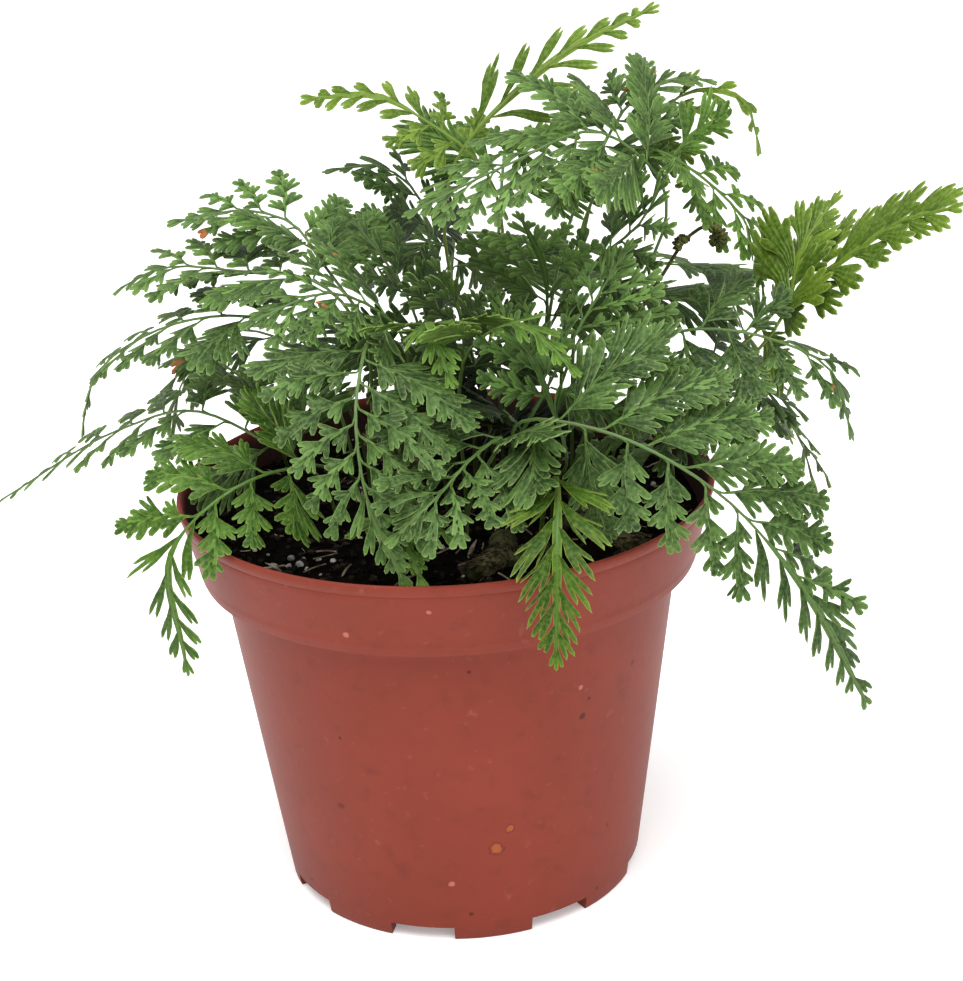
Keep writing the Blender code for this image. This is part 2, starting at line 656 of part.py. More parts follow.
def build_pot(finish):
    """Thin-walled pot with a wide band under its rim, a foot ring and drain holes."""
    band_foot = POT_HEIGHT - BAND_HEIGHT
    floor_top = FLOOR_HEIGHT + FLOOR_THICKNESS
    profile = (
        (0.0, FLOOR_HEIGHT),
        (BASE_RADIUS - FOOT_WIDTH, FLOOR_HEIGHT),
        (BASE_RADIUS - FOOT_WIDTH, 0.0),
        (BASE_RADIUS, 0.0),
        (BODY_TOP_RADIUS, band_foot),
        (BAND_FOOT_RADIUS, band_foot + 0.4),
        (RIM_RADIUS, POT_HEIGHT),
        (RIM_RADIUS - WALL, POT_HEIGHT),
        (BAND_FOOT_RADIUS - WALL, band_foot + 0.4 + WALL),
        (BODY_TOP_RADIUS - WALL, band_foot + WALL),
        (BASE_RADIUS - WALL, floor_top),
        (0.0, floor_top),
    )
    verts, faces = turned(profile, POT_SIDES)
    pot = add_object("pot", verts, faces, finish)
    middle = BASE_RADIUS - FOOT_WIDTH / 2
    half_width = BASE_RADIUS * math.sin(math.radians(NOTCH_WIDTH_DEG / 2))
    places = [(middle * math.sin(a), -middle * math.cos(a), a) for a in notch_angles()]
    notches = add_object("notches", *boxes(places, (half_width, FOOT_WIDTH, -2.0, FLOOR_HEIGHT - 0.2)))
    cut(pot, notches)
    holes = []
    for angle in notch_angles():
        x, y = DRAIN_DISTANCE * math.sin(angle), -DRAIN_DISTANCE * math.cos(angle)
        hole = Rib(((x, y, FLOOR_HEIGHT - 2.0), (x, y, floor_top + 2.0)))
        holes.append(tube(hole, drain_radius, DRAIN_SIDES, 1))
    cut(pot, add_object("drains", *joined(holes)))
    return pot


def drain_radius(share):
    return DRAIN_RADIUS


def joined(pieces):
    """Several loose meshes as one."""
    verts, faces = [], []
    for piece_verts, piece_faces in pieces:
        first = len(verts)
        verts += list(piece_verts)
        faces += [tuple(first + k for k in face) for face in piece_faces]
    return verts, faces


def soil_height(x, y):
    """The soil's top: a low mound with shallow bumps."""
    distance = math.hypot(x, y) / RIM_RADIUS
    mound = mix(SOIL_MIDDLE_HEIGHT, SOIL_EDGE_HEIGHT, min(1.0, distance) ** 2)
    return mound + SOIL_BUMP * math.sin(x * 0.21) * math.cos(y * 0.17)


def build_soil(finish):
    """The soil fills the pot, with a hole for each stem and a bed for each rhizome."""
    band_foot = POT_HEIGHT - BAND_HEIGHT
    floor_top = FLOOR_HEIGHT + FLOOR_THICKNESS
    slope = (RIM_RADIUS - BAND_FOOT_RADIUS) / (BAND_HEIGHT - 0.4)
    edge = BAND_FOOT_RADIUS + slope * (SOIL_EDGE_HEIGHT - band_foot - 0.4) - WALL
    spare = SEAT_GAP + 0.15
    profile = (
        (0.0, floor_top + SEAT_GAP),
        (BASE_RADIUS - WALL - spare, floor_top + SEAT_GAP),
        (BODY_TOP_RADIUS - WALL - spare, band_foot + WALL + SEAT_GAP),
        (BAND_FOOT_RADIUS - WALL - spare, band_foot + 0.4 + WALL + SEAT_GAP),
        (edge - spare, SOIL_EDGE_HEIGHT),
        (edge * 0.68, SOIL_EDGE_HEIGHT),
        (edge * 0.34, SOIL_EDGE_HEIGHT),
        (0.0, SOIL_EDGE_HEIGHT),
    )
    verts, faces = turned(profile, SOIL_SIDES)
    faces = [part for face in faces for part in triangles(face)]
    top = len(verts) - 1 - 3 * SOIL_SIDES
    raised = [(x, y, soil_height(x, y)) if index >= top else (x, y, z)
              for index, (x, y, z) in enumerate(verts)]
    soil = add_object("soil", raised, faces, finish)
    low = SOIL_EDGE_HEIGHT - STEM_DEPTH - STEM_HOLE_SPARE
    places = []
    for frond in FRONDS:
        start, end = Vector(frond.path[0]), Vector(frond.path[-1])
        places.append((*frond.base, math.atan2(end.y - start.y, end.x - start.x)))
    places.append((CROZIER_STEM[0][0], CROZIER_STEM[0][1], 0.0))
    holes = boxes(places, (STEM_HOLE_HALF, STEM_HOLE_HALF, low, SOIL_MIDDLE_HEIGHT + 4.0))
    cut(soil, add_object("stem_holes", *holes))
    beds = [rhizome_mesh(name, SEAT_GAP + 0.1) for name in RHIZOMES]
    cut(soil, add_object("rhizome_beds", *joined(beds)))
    return soil


def rhizome_mesh(name, extra=0.0):
    """A creeping stem along the top of the soil, tapering to a blunt growing tip."""
    route, thick, thin = RHIZOMES[name]
    points = [(x, y, soil_height(x, y) + RHIZOME_RISE) for x, y in route]
    if extra:
        first, last = Vector(points[0]), Vector(points[-1])
        points[0] = first + (first - Vector(points[1])).normalized() * extra
        points[-1] = last + (last - Vector(points[-2])).normalized() * extra

    def radius_at(share):
        return mix(thick, thin, share) * (1.0 - 0.35 * abs(2 * share - 1) ** 6) + extra

    return tube(Rib(points), radius_at, RHIZOME_SIDES, RHIZOME_STEPS)


def crozier_radius(share):
    return CROZIER_RADIUS * (1.0 - 0.35 * share)


def crozier_mesh():
    """A young frond still rolled up: a thin stem that ends in a coil."""
    stem = [Vector(p) for p in CROZIER_STEM]
    along = (stem[-1] - stem[-2]).normalized()
    along = Vector((along.x, along.y, along.z * 0.5)).normalized()
    down = Vector((along.x * along.z, along.y * along.z, -math.hypot(along.x, along.y)))
    down = (down - along * down.dot(along)).normalized()
    centre = stem[-1] + along * 1.5 + down * CROZIER_COIL_RADIUS
    for step in range(1, CROZIER_COIL_POINTS + 1):
        share = step / CROZIER_COIL_POINTS
        angle = share * CROZIER_TURNS * 2 * math.pi
        radius = CROZIER_COIL_RADIUS * (1.0 - 0.72 * share)
        stem.append(centre - down * radius * math.cos(angle) + along * radius * math.sin(angle))
    return tube(Rib(stem), crozier_radius, CROZIER_SIDES, CROZIER_STEPS)


def shade(made):
    made.data.shade_smooth()
    made.data.set_sharp_from_angle(angle=math.radians(35))


def turned_pot():
    """The pot's outer skin a little enlarged, for keeping leaves clear of it."""
    band_foot = POT_HEIGHT - BAND_HEIGHT
    profile = (
        (0.0, 1.0),
        (BASE_RADIUS, 0.0),
        (BODY_TOP_RADIUS, band_foot),
        (BAND_FOOT_RADIUS, band_foot),
        (RIM_RADIUS, POT_HEIGHT),
        (RIM_RADIUS - WALL, POT_HEIGHT),
        (BAND_FOOT_RADIUS - WALL, band_foot + 2.0),
        (0.0, band_foot + 2.0),
    )
    return turned(profile, POT_SIDES)


def soil_top():
    """The soil's surface, for keeping leaves clear of it."""
    profile = (
        (0.0, 70.0),
        (RIM_RADIUS - 2.0, 76.0),
        (RIM_RADIUS - 3.0, SOIL_EDGE_HEIGHT),
        (RIM_RADIUS * 0.6, SOIL_EDGE_HEIGHT),
        (RIM_RADIUS * 0.3, SOIL_EDGE_HEIGHT),
        (0.0, SOIL_EDGE_HEIGHT),
    )
    verts, faces = turned(profile, SOIL_SIDES)
    raised = [(x, y, soil_height(x, y) + 0.6) if z == SOIL_EDGE_HEIGHT else (x, y, z) for x, y, z in verts]
    return raised, faces


def main():
    for old in list(bpy.data.objects):
        bpy.data.objects.remove(old)
    pot = build_pot(material("pot_plastic", POT_COLOUR, 0.5))
    soil = build_soil(material("soil", SOIL_COLOUR, 0.95))
    shade(pot)
    shade(soil)
    rhizome_finish = material("rhizome", RHIZOME_COLOUR, 0.9)
    for name in RHIZOMES:
        shade(add_object(name, *rhizome_mesh(name), rhizome_finish))
    shade(add_object("crozier", *crozier_mesh(), material("crozier", CROZIER_COLOUR, 0.6)))
    finishes = {look: material("leaf_" + look, colour, 0.55) for look, colour in LEAF_COLOURS.items()}
    plans = plan_fronds()
    for frond in FRONDS:
        verts, faces = frond_sheet(frond, plans[frond.name]).solid()
        add_object(frond.name, verts, faces, finishes[frond.look])


main()
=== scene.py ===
"""Looks of the potted black rabbits foot fern, built around its solids.

Places and sizes are in millimetres in the solids' own frame, +Z up and -Y towards
the viewer, and become metres when a mesh is made. Each frond follows the same
table and rules as its solid, and takes each side branch's bend from that solid.
"""

import math
import random
from collections import namedtuple

import bpy
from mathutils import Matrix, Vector, kdtree, noise


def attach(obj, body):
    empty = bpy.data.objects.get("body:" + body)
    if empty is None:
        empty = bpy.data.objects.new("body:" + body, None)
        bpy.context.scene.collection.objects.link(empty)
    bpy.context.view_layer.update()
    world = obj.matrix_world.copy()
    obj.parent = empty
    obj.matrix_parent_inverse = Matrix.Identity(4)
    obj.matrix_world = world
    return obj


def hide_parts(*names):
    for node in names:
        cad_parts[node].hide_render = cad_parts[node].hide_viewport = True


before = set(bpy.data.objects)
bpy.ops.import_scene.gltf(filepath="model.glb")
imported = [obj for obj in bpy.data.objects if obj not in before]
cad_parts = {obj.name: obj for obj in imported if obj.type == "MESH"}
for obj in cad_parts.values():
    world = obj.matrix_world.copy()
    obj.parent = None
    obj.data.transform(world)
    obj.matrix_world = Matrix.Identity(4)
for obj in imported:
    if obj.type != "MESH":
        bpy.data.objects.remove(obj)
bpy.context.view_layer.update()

MM = 0.001
UP = Vector((0.0, 0.0, 1.0))

# Picture and camera, fitted to the photograph
IMAGE_HEIGHT = 981.0
FOCAL_PIXELS = 2325.25
SENSOR = 36.0
CAMERA_PLACE = Vector((7.13, -435.8, 255.84))
CAMERA_TARGET = Vector((7.13, 0.0, 81.8))
CAMERA_ROLL_DEG = -2.7473

# Pot, in millimetres
POT_HEIGHT = 85.0
RIM_RADIUS = 54.0
BAND_HEIGHT = 16.0
BAND_FOOT_RADIUS = 50.3
BODY_TOP_RADIUS = 46.3
BASE_RADIUS = 36.8
WALL = 1.1
FLOOR_HEIGHT = 3.2
FLOOR_THICKNESS = 1.3
FOOT_WIDTH = 3.3
POT_SIDES = 192
BODY_STEPS = 24
BAND_STEPS = 8
LIP_HEIGHT = 2.6
FOOT_COUNT = 8
NOTCH_WIDTH_DEG = 20.5
NOTCH_FIRST_DEG = -14.0
NOTCH_ROOF = 0.2
DRAIN_RADIUS = 3.0
DRAIN_DISTANCE = 24.0
DRAIN_SIDES = 24
DRAIN_HEIGHTS = (1.0, 7.0)

# Soil, in millimetres
SOIL_EDGE_HEIGHT = 77.5
SOIL_MIDDLE_HEIGHT = 79.5
SOIL_BUMP = 0.7
SOIL_RADIUS = 50.9
SOIL_BOTTOM = 72.0
SOIL_RINGS = 56
SOIL_SIDES = 168
STEM_DEPTH = 6.0
COLLAR_RISE = 3.5

# What lies on the soil: how many, how far from its edge in millimetres, and the
# radius along a chip as shares of its thickest part
PERLITE_COUNT = 46
CRUMB_COUNT = 1500
FIBRE_COUNT = 90
SOIL_MARGIN = 1.6
FIBRE_MARGIN = 4.0
CHIP_FORM = (0.5, 1.0, 1.0, 0.9, 0.6, 0.3)

# Fronds, in millimetres and degrees
STIPE_HALF_WIDTH = 0.75
RACHIS_HALF_WIDTH = 0.6
RACHIS_HALF_THICKNESS = 0.5
TIP_HALF_WIDTH = 0.35
BLADE_HALF_THICKNESS = 0.35
BASE_ANGLE = 78.0
TIP_ANGLE = 38.0
ANGLE_FALL = 1.6
LEAFLET_REACH = 0.58
BRANCH_BREADTH = 0.30
NODE_LENGTH = 1.3
FIRST_NODE = 0.02
NODE_STAGGER = 0.42
BRANCH_SAG = 0.10
TILT_CHOICES = (0, 9, -9, 18, -18, 28, -28, 40, -40)
LENGTH_CHOICES = (1.0, 0.85, 0.7, 0.5, 0.35)
TIP_TOLERANCE = 0.03

Frond = namedtuple("Frond", "name base path spread pairs roll look lean right simple breadth taper",
                   defaults=(0, 1.0, 6.5, 0.17, 0.85))
Pinna = namedtuple("Pinna", "side near far length angle reach lower tilt sag")

# Each frond: where its stem leaves the soil, the route of its midrib from the
# lowest leaflets to the tip, how far the lowest side branches reach, how many
# pairs it has, the roll of its blade at both ends and the look of its leaf. The
# last five, where given, are the angle by which the left branches sweep forwards
# (lean), the size of the right ones (right), the length up to which a branch is one
# undivided leaflet (simple), half the width of such a leaflet by its length
# (breadth), and how fast the branches shorten towards the tip (taper).
FRONDS = (
    Frond("frond_front_left", (-14, -6), ((-13, -26, 122), (-15, -40, 113), (-13, -48, 98), (-8, -51, 86)),
          22, 10, (0, 0), "mature", right=0.8),
    Frond("frond_front_right", (15, -12),
          ((17, -34, 109), (32, -42, 108), (50, -48, 98), (63, -48, 82), (78, -42, 52)),
          24, 13, (-48, -58), "mature", 14, 0.7, 11, 0.24, 0.65),
    Frond("frond_middle_up", (11, -6), ((20, -22, 110), (27, -18, 121), (36, -14, 134)),
          26, 8, (-30, -26), "mature"),
    Frond("frond_front_inner", (4, -18), ((11, -32, 105), (5, -41, 104), (0, -48, 101), (-8, -52, 95)),
          22, 7, (14, 10), "mature"),
    Frond("frond_front_middle", (18, -28), ((21, -44, 101), (20, -58, 94), (19, -64, 76)),
          14, 7, (0, 0), "young", simple=15, breadth=0.22, taper=0.5),
    Frond("frond_front_low", (-7, -30), ((-7, -38, 93), (-7, -45, 91), (-5, -50, 86)),
          8, 4, (0, 0), "fresh"),
    Frond("frond_left_front", (-22, -10), ((-26, -18, 95), (-39, -28, 96), (-51, -34, 87), (-51, -34, 63)),
          13, 8, (28, 34), "fresh", right=1.3, simple=10, breadth=0.19, taper=0.5),
    Frond("frond_left_long", (-18, 4), ((-28, -8, 93), (-49, 2, 101), (-66, 13, 94), (-95, 25, 75)),
          15, 9, (24, 14), "mature", right=1.3, taper=0.75),
    Frond("frond_left_inner", (-9, 4), ((-9, -7, 121), (-20, -14, 129), (-34, -20, 126)),
          21, 7, (26, 18), "mature"),
    Frond("frond_inner_left", (-3, 11), ((-3, 3, 113), (-6, 4, 123), (-11, 6, 131), (-16, 9, 137)),
          16, 5, (16, 10), "dark"),
    Frond("frond_left_middle", (-16, 12), ((-33, 8, 117), (-58, 14, 114), (-71, 16, 104), (-74, 14, 95)),
          17, 7, (16, 0), "mature"),
    Frond("frond_left_upper", (-10, 16), ((-24, 20, 121), (-41, 28, 122), (-58, 32, 122), (-66, 34, 118)),
          20, 7, (24, 16), "mature"),
    Frond("frond_left_top", (-4, 24), ((-24, 30, 123), (-30, 38, 129), (-39, 42, 131), (-54, 44, 129)),
          18, 7, (32, 26), "mature"),
    Frond("frond_back_left", (2, 22), ((-1, 26, 126), (-3, 29, 136), (-10, 30, 142), (-19, 30, 142)),
          15, 5, (14, 10), "dark"),
    Frond("frond_top_light", (6, 16), ((8, 18, 147), (0, 20, 153), (-9, 22, 158), (-23, 24, 158)),
          8, 7, (34, 44), "light", taper=0.6),
    Frond("frond_top_young", (10, 14), ((8, 12, 151), (17, 14, 159), (27, 16, 166), (44, 20, 173)),
          14, 7, (-58, -50), "light", lean=26, simple=20, breadth=0.08),
    Frond("frond_top_middle", (19, 4), ((43, 2, 146), (33, 0, 154), (15, -6, 150), (-3, -10, 143)),
          26, 9, (24, 16), "mature"),
    Frond("frond_right_top", (20, 16), ((34, 18, 146), (41, 22, 155), (51, 26, 158), (56, 28, 157)),
          13, 6, (-24, -16), "mature"),
    Frond("frond_right_curly", (24, 19), ((42, 24, 148), (54, 28, 155), (64, 30, 152), (67, 30, 143)),
          9, 5, (-44, -40), "light"),
    Frond("frond_right_arch", (26, 11), ((44, 10, 148), (53, 10, 142), (62, 8, 132), (65, 6, 118)),
          14, 7, (-30, -10), "fresh"),
    Frond("frond_right_far", (30, -1),
          ((63, 2, 112), (68, -4, 120), (78, -14, 131), (87, -22, 140), (94, -30, 144)),
          15, 8, (-56, -50), "light", -8, 0.75, 11, 0.24, 0.35),
    Frond("frond_right_bright", (37, -6), ((68, -8, 121), (71, -5, 131), (77, -1, 138)),
          18, 5, (-10, 0), "light", right=0.7, simple=20, breadth=0.2),
    Frond("frond_right_middle", (25, -4), ((46, -8, 116), (64, -12, 115), (75, -14, 109), (79, -14, 97)),
          17, 6, (-26, -20), "mature"),
    Frond("frond_right_under", (34, 9), ((52, 9, 107), (63, 11, 99), (73, 13, 91)),
          17, 5, (-24, -20), "dark"),
    Frond("frond_middle_right", (13, 8), ((32, 0, 129), (40, -4, 137), (45, -6, 147)),
          17, 5, (-40, -30), "mature"),
    Frond("frond_centre", (6, 2), ((21, -6, 117), (21, -12, 131), (17, -20, 143)),
          22, 6, (0, 0), "dark"),
    Frond("frond_inner_dark", (21, -10), ((23, -29, 102), (21, -28, 109), (18, -25, 117), (13, -20, 123)),
          20, 5, (0, 0), "dark"),
    Frond("frond_inner_back", (7, 9), ((11, 10, 92), (12, 12, 99), (10, 14, 107), (7, 16, 115)),
          21, 5, (0, 0), "dark"),
    Frond("frond_inner_high", (1, 4), ((4, 2, 104), (5, 0, 113), (4, -3, 122), (1, -6, 130)),
          20, 5, (0, 0), "mature"),
    Frond("frond_inner_right", (45, -11), ((44, -14, 94), (42, -18, 100), (43, -24, 102), (47, -30, 99)),
          18, 5, (-10, -10), "dark"),
    Frond("frond_inner_front", (-9, -15), ((-10, -15, 96), (-9, -15, 102), (-6, -16, 108), (0, -17, 112)),
          19, 6, (-10, -10), "dark"),
    Frond("frond_inner_middle", (18, -3), ((17, -5, 92), (15, -6, 97), (11, -7, 101), (5, -8, 103)),
          16, 5, (0, 0), "dark"),
    Frond("frond_inner_far_left", (-32, 9), ((-33, 3, 93), (-34, -1, 100), (-36, -5, 107), (-40, -7, 112)),
          17, 5, (10, 10), "dark"),
    Frond("frond_centre_light", (4, -10), ((8, -22, 121), (16, -30, 126), (24, -36, 120)),
          12, 5, (-10, 0), "fresh", simple=10, breadth=0.22),
    Frond("frond_centre_left", (0, -3), ((-1, -14, 120), (-1, -24, 125), (2, -32, 118)),
          14, 5, (0, 0), "fresh", simple=10, breadth=0.22),
    Frond("frond_back_middle", (2, 30), ((3, 40, 116), (4, 50, 122), (2, 59, 110), (0, 62, 92)),
          24, 5, (0, 0), "mature"),
    Frond("frond_back_right", (22, 24), ((36, 30, 112), (50, 40, 116), (62, 48, 106), (69, 52, 88)),
          23, 5, (0, 0), "mature"),
    Frond("frond_back_lower_left", (-20, 24), ((-30, 34, 102), (-44, 44, 104), (-57, 50, 92), (-62, 53, 74)),
          21, 5, (0, 0), "mature"),
    Frond("frond_back_high", (12, 24), ((14, 32, 134), (16, 42, 144), (18, 53, 142), (20, 60, 132)),
          19, 5, (0, 0), "fresh"),
    Frond("frond_back_lower_right", (32, 12), ((46, 16, 96), (60, 22, 96), (74, 26, 82), (80, 28, 62)),
          19, 5, (0, 0), "mature"),
    Frond("frond_back_low", (-8, 34), ((-10, 45, 94), (-14, 54, 96), (-17, 60, 86), (-18, 62, 70)),
          15, 5, (0, 0), "fresh"),
)

# Leaflets: their spacing along a branch, their width where they stand free, how
# many teeth they have, how deep the cuts between the teeth are, and how much the
# blade arches across
Style = namedtuple("Style", "pitch width teeth cut arch")
STYLES = {
    "mature": Style(3.4, 3.9, (2, 3, 3), 0.36, 0.26),
    "dark": Style(3.4, 3.9, (2, 3, 3), 0.36, 0.26),
    "fresh": Style(3.3, 3.6, (2, 3, 3), 0.38, 0.28),
    "young": Style(3.2, 3.4, (2, 3, 3), 0.38, 0.26),
    "light": Style(3.0, 3.1, (2, 2, 3), 0.40, 0.22),
}
# Undivided leaflets: their width as a share of the frond's branch breadth and their
# length, their greatest width, how deep their teeth are cut, and how far along the
# branch they reach
Lobes = namedtuple("Lobes", "breadth widest cut reach")
LOBES = {
    "light": Lobes(2.9, 8.5, 0.20, 0.90),
    "fresh": Lobes(1.55, 4.4, 0.40, 0.84),
    "young": Lobes(1.8, 4.7, 0.46, 0.74),
}
OTHER_LOBES = Lobes(1.55, 4.6, 0.36, 0.86)

# Leaflets and their ribs, in millimetres and degrees. Each leaflet is rolled a
# little, so that it lies over the next. The one at a frond's tip is given by its
# length, width and tone.
LEAF_HALF_THICKNESS = 0.16
SHORTEST_LEAFLET = 3.4
LONG_LEAFLET = 4.5
WIDE_LEAFLET = 4.2
SHINGLE_DEG = 8.0
TIP_LEAFLET = (4.6, 2.6, 0.9)
LOBE_NARROWEST = 2.3
LOBE_TEETH = (2.7, 3.9, 6.4)
LOBE_SWEEP = 0.26
RIB_HALF_WIDTH = 0.22
RIB_TIP_HALF_WIDTH = 0.12
RIB_SIDES = 5
BRANCH_LEANS = (27.0, 15.0)
BRANCH_BEND = 0.22
BRANCH_STEPS = 6
BRANCH_END = 0.97
BRANCH_WING_WIDTHS = (0.2, 1.1)
BRANCH_WING_HALF_THICKNESS = 0.13
WING_HALF_WIDTH = 0.85
WING_HALF_THICKNESS = 0.14
WING_STEP = 3.0
WING_SIDES = 6
STEM_SLIMNESS = 0.58
STEM_STEP = 4.0
STEM_SIDES = 8

# How a branch's rib starts: how far below the branch, how far out of the midrib's
# middle, and how far it has turned towards the branch
BRANCH_FOOT = ((2.4, 0.0, 0.0), (1.0, 0.22, 0.5))

# Tones of leaflets, ribs and wings, of which a higher one is lighter. A leaflet's
# tone rises with its branch's place along the frond and by a random share.
# Painted shade: a leaflet darkens towards its root, down to this share of its tone, where leaflets crowd
# along their rib
ROOT_SHADE_TONE = 0.05
AGE_TONE = 0.3
TONE_SPREAD = 0.7
RIB_TONE = 0.5
WING_TONE = 0.45
DRY_SHARE = 0.008

# Middle and half sizes of the plant's crown; leaves deep inside it get painted shade
CANOPY_MIDDLE = Vector((4.0, 10.0, 84.0))
CANOPY_SIZE = (62.0, 52.0, 62.0)

# Each rhizome: its route over the soil, its radius at the thick end and at the tip
RHIZOMES = {
    "rhizome_front": (((11, -21), (10, -30), (4, -39)), 3.0, 1.8),
    "rhizome_right": (((24, -12), (33, -22), (38, -28)), 3.4, 2.2),
    "rhizome_back": (((-4, 14), (-14, 30), (-16, 42)), 3.2, 2.0),
}
RHIZOME_RISE = 1.2
RHIZOME_RINGS = 30
FLAKE_COUNT = 210

# The coiled young frond: stem route, then the coil that it ends in
CROZIER_STEM = ((28, 14, 73), (30, 13, 88), (37, 10, 108), (45, 5, 124), (51, 2, 133))
CROZIER_RADIUS = 0.8
CROZIER_COIL_RADIUS = 3.4
CROZIER_KNOT_RADIUS = 1.5
CROZIER_TURNS = 1.6
CROZIER_COIL_POINTS = 14
CROZIER_RINGS = 71
CROZIER_TAPER_RINGS = 50

# Radii along a curled side branch of it, and along a bud as shares of its thickness
BRANCHLET_RADII = (0.3, 0.28, 0.26, 0.24, 0.22, 0.2, 0.18)
BUD_FORM = (0.7, 1.0, 1.15, 0.9, 0.4)

# Leaf colours of each look: shaded, lit and margin, linear
LEAF_COLOURS = {
    "mature": ((0.004, 0.018, 0.001), (0.118, 0.228, 0.046), (0.19, 0.29, 0.085)),
    # The dark look: the mature leaf darkened, painted shade for the fronds inside and under the crown
    "dark": ((0.003, 0.013, 0.001), (0.068, 0.142, 0.025), (0.12, 0.19, 0.050)),
    "fresh": ((0.011, 0.042, 0.001), (0.104, 0.214, 0.024), (0.19, 0.29, 0.06)),
    "young": ((0.009, 0.036, 0.001), (0.078, 0.176, 0.010), (0.21, 0.27, 0.04)),
    # The light look: yellow-green of young leaves, partly painted light that shines through them from behind
    "light": ((0.028, 0.068, 0.001), (0.172, 0.274, 0.018), (0.27, 0.35, 0.09)),
}
DEEP_SHADE = 0.92
DRY_COLOURS = ((0.20, 0.055, 0.010), (0.42, 0.17, 0.05))
STALK_BROWN = (0.08, 0.05, 0.02)

# Looks of the rough small parts: dark colour, light colour, roughness and shine
GRAIN_LOOKS = {
    "perlite": ((0.16, 0.15, 0.13), (0.55, 0.53, 0.49), 0.8, 0.2),
    "crumbs": ((0.001, 0.001, 0.0008), (0.024, 0.019, 0.014), 0.95, 0.03),
    "fibres": ((0.09, 0.06, 0.04), (0.32, 0.27, 0.21), 0.8, 0.2),
    "moss": ((0.010, 0.013, 0.004), (0.075, 0.085, 0.032), 0.9, 0.2),
    "rhizome": ((0.014, 0.015, 0.005), (0.060, 0.060, 0.022), 0.85, 0.1),
    "rhizome_scale": ((0.030, 0.024, 0.010), (0.12, 0.095, 0.050), 0.75, 0.15),
    "crozier": ((0.030, 0.038, 0.006), (0.105, 0.105, 0.022), 0.6, 0.2),
}
SOIL_COLOURS = ((0.0010, 0.0009, 0.0007), (0.008, 0.006, 0.004))

# Larger bits on the front of the soil. Perlite and moss: x, y and size. Chips: x, y,
# the way that they point in degrees, their length and their radius.
PERLITE_PLACES = (
    (-30.3, -22.4, 1.1), (-28.6, -24.6, 1.3), (-30.6, -25.6, 0.9), (-28.0, -22.2, 0.8),
    (-26.9, -26.9, 0.9), (-33.4, -25.8, 1.2), (-36.4, -26.9, 0.6), (-40.0, -23.0, 0.5),
    (-37.6, -18.5, 0.7), (-34.8, -21.0, 0.5), (-24.2, -30.4, 0.5), (3.0, -36.4, 0.5),
)
MOSS_PLACES = ((10.8, -30.4, 2.6), (15.2, -26.0, 2.1), (18.6, -24.6, 1.6), (13.2, -28.0, 1.4))
CHIP_PLACES = (
    (4.0, -26.4, 70.0, 5.0, 0.45), (7.0, -37.0, 40.0, 4.0, 0.4), (-10.0, -36.0, 15.0, 4.5, 0.3),
    (-31.5, -28.6, 150.0, 4.0, 0.3), (-20.0, -33.0, 60.0, 3.5, 0.25),
)

# Fronds whose leaves are lighter or darker than the others of their look
TONE_SHIFTS = {
    "frond_left_top": 0.5,
    "frond_left_upper": 0.35,
    "frond_left_long": 0.2,
    "frond_left_inner": 0.1,
    "frond_top_middle": 0.3,
    "frond_right_top": 0.2,
    "frond_right_arch": 0.2,
    "frond_centre": 0.55,
    "frond_centre_left": 0.5,
    "frond_centre_light": 0.3,
    "frond_inner_dark": 0.35,
    "frond_middle_up": 0.2,
    "frond_front_inner": -0.1,
    "frond_right_middle": -0.1,
}

# Marks on the pot's wall: angle from the front towards +X, height, size and kind
POT_MARKS = (
    (9.8, 21.8, 1.3, "blister"),
    (13.6, 26.4, 0.8, "blister"),
    (-3.6, 14.1, 0.7, "pale"),
    (-57.1, 5.8, 0.5, "dark"),
    (1.5, 6.4, 0.5, "dark"),
    (45.8, 3.8, 0.5, "dark"),
    (47.8, 18.6, 0.5, "dark"),
    (-31.2, 46.7, 0.4, "dark"),
    (4.0, 63.6, 0.4, "dark"),
    (36.1, 52.0, 0.5, "dark"),
    (34.2, 48.4, 0.8, "dark"),
    (-35.0, 29.8, 1.1, "smear"),
    (51.8, 55.0, 1.0, "smear"),
    (-3.9, 79.5, 0.6, "pale"),
    (33.3, 55.2, 0.6, "pale"),
    (-21.9, 73.4, 0.8, "pale"),
)
MARK_COLOURS = {
    "blister": (0.30, 0.075, 0.022),
    "dark": (0.045, 0.008, 0.005),
    "smear": (0.085, 0.012, 0.007),
    "pale": (0.38, 0.13, 0.085),
}
POT_COLOUR = (0.172, 0.0268, 0.0140)
DUST_COLOUR = (0.50, 0.24, 0.18)
# Soil stain and painted shade on the pot's inner wall
SOIL_STAIN_AND_SHADE_COLOUR = (0.010, 0.007, 0.005)

# Lights: place and size in metres, and power in watts
LIGHTS = {
    "key": ((-0.06, -0.42, 1.5), 1.7, 35.0),
    "fill": ((0.5, -0.9, 0.6), 0.8, 2.5),
}
LIGHT_TARGET = (0.0, 0.0, 0.1)
WHITE = (1.0, 1.0, 1.0, 1.0)
WORLD_STRENGTH = 0.82

# The floor: half its width in millimetres, and how much it glows
FLOOR_SIZE = 1500.0
FLOOR_GLOW = 0.22


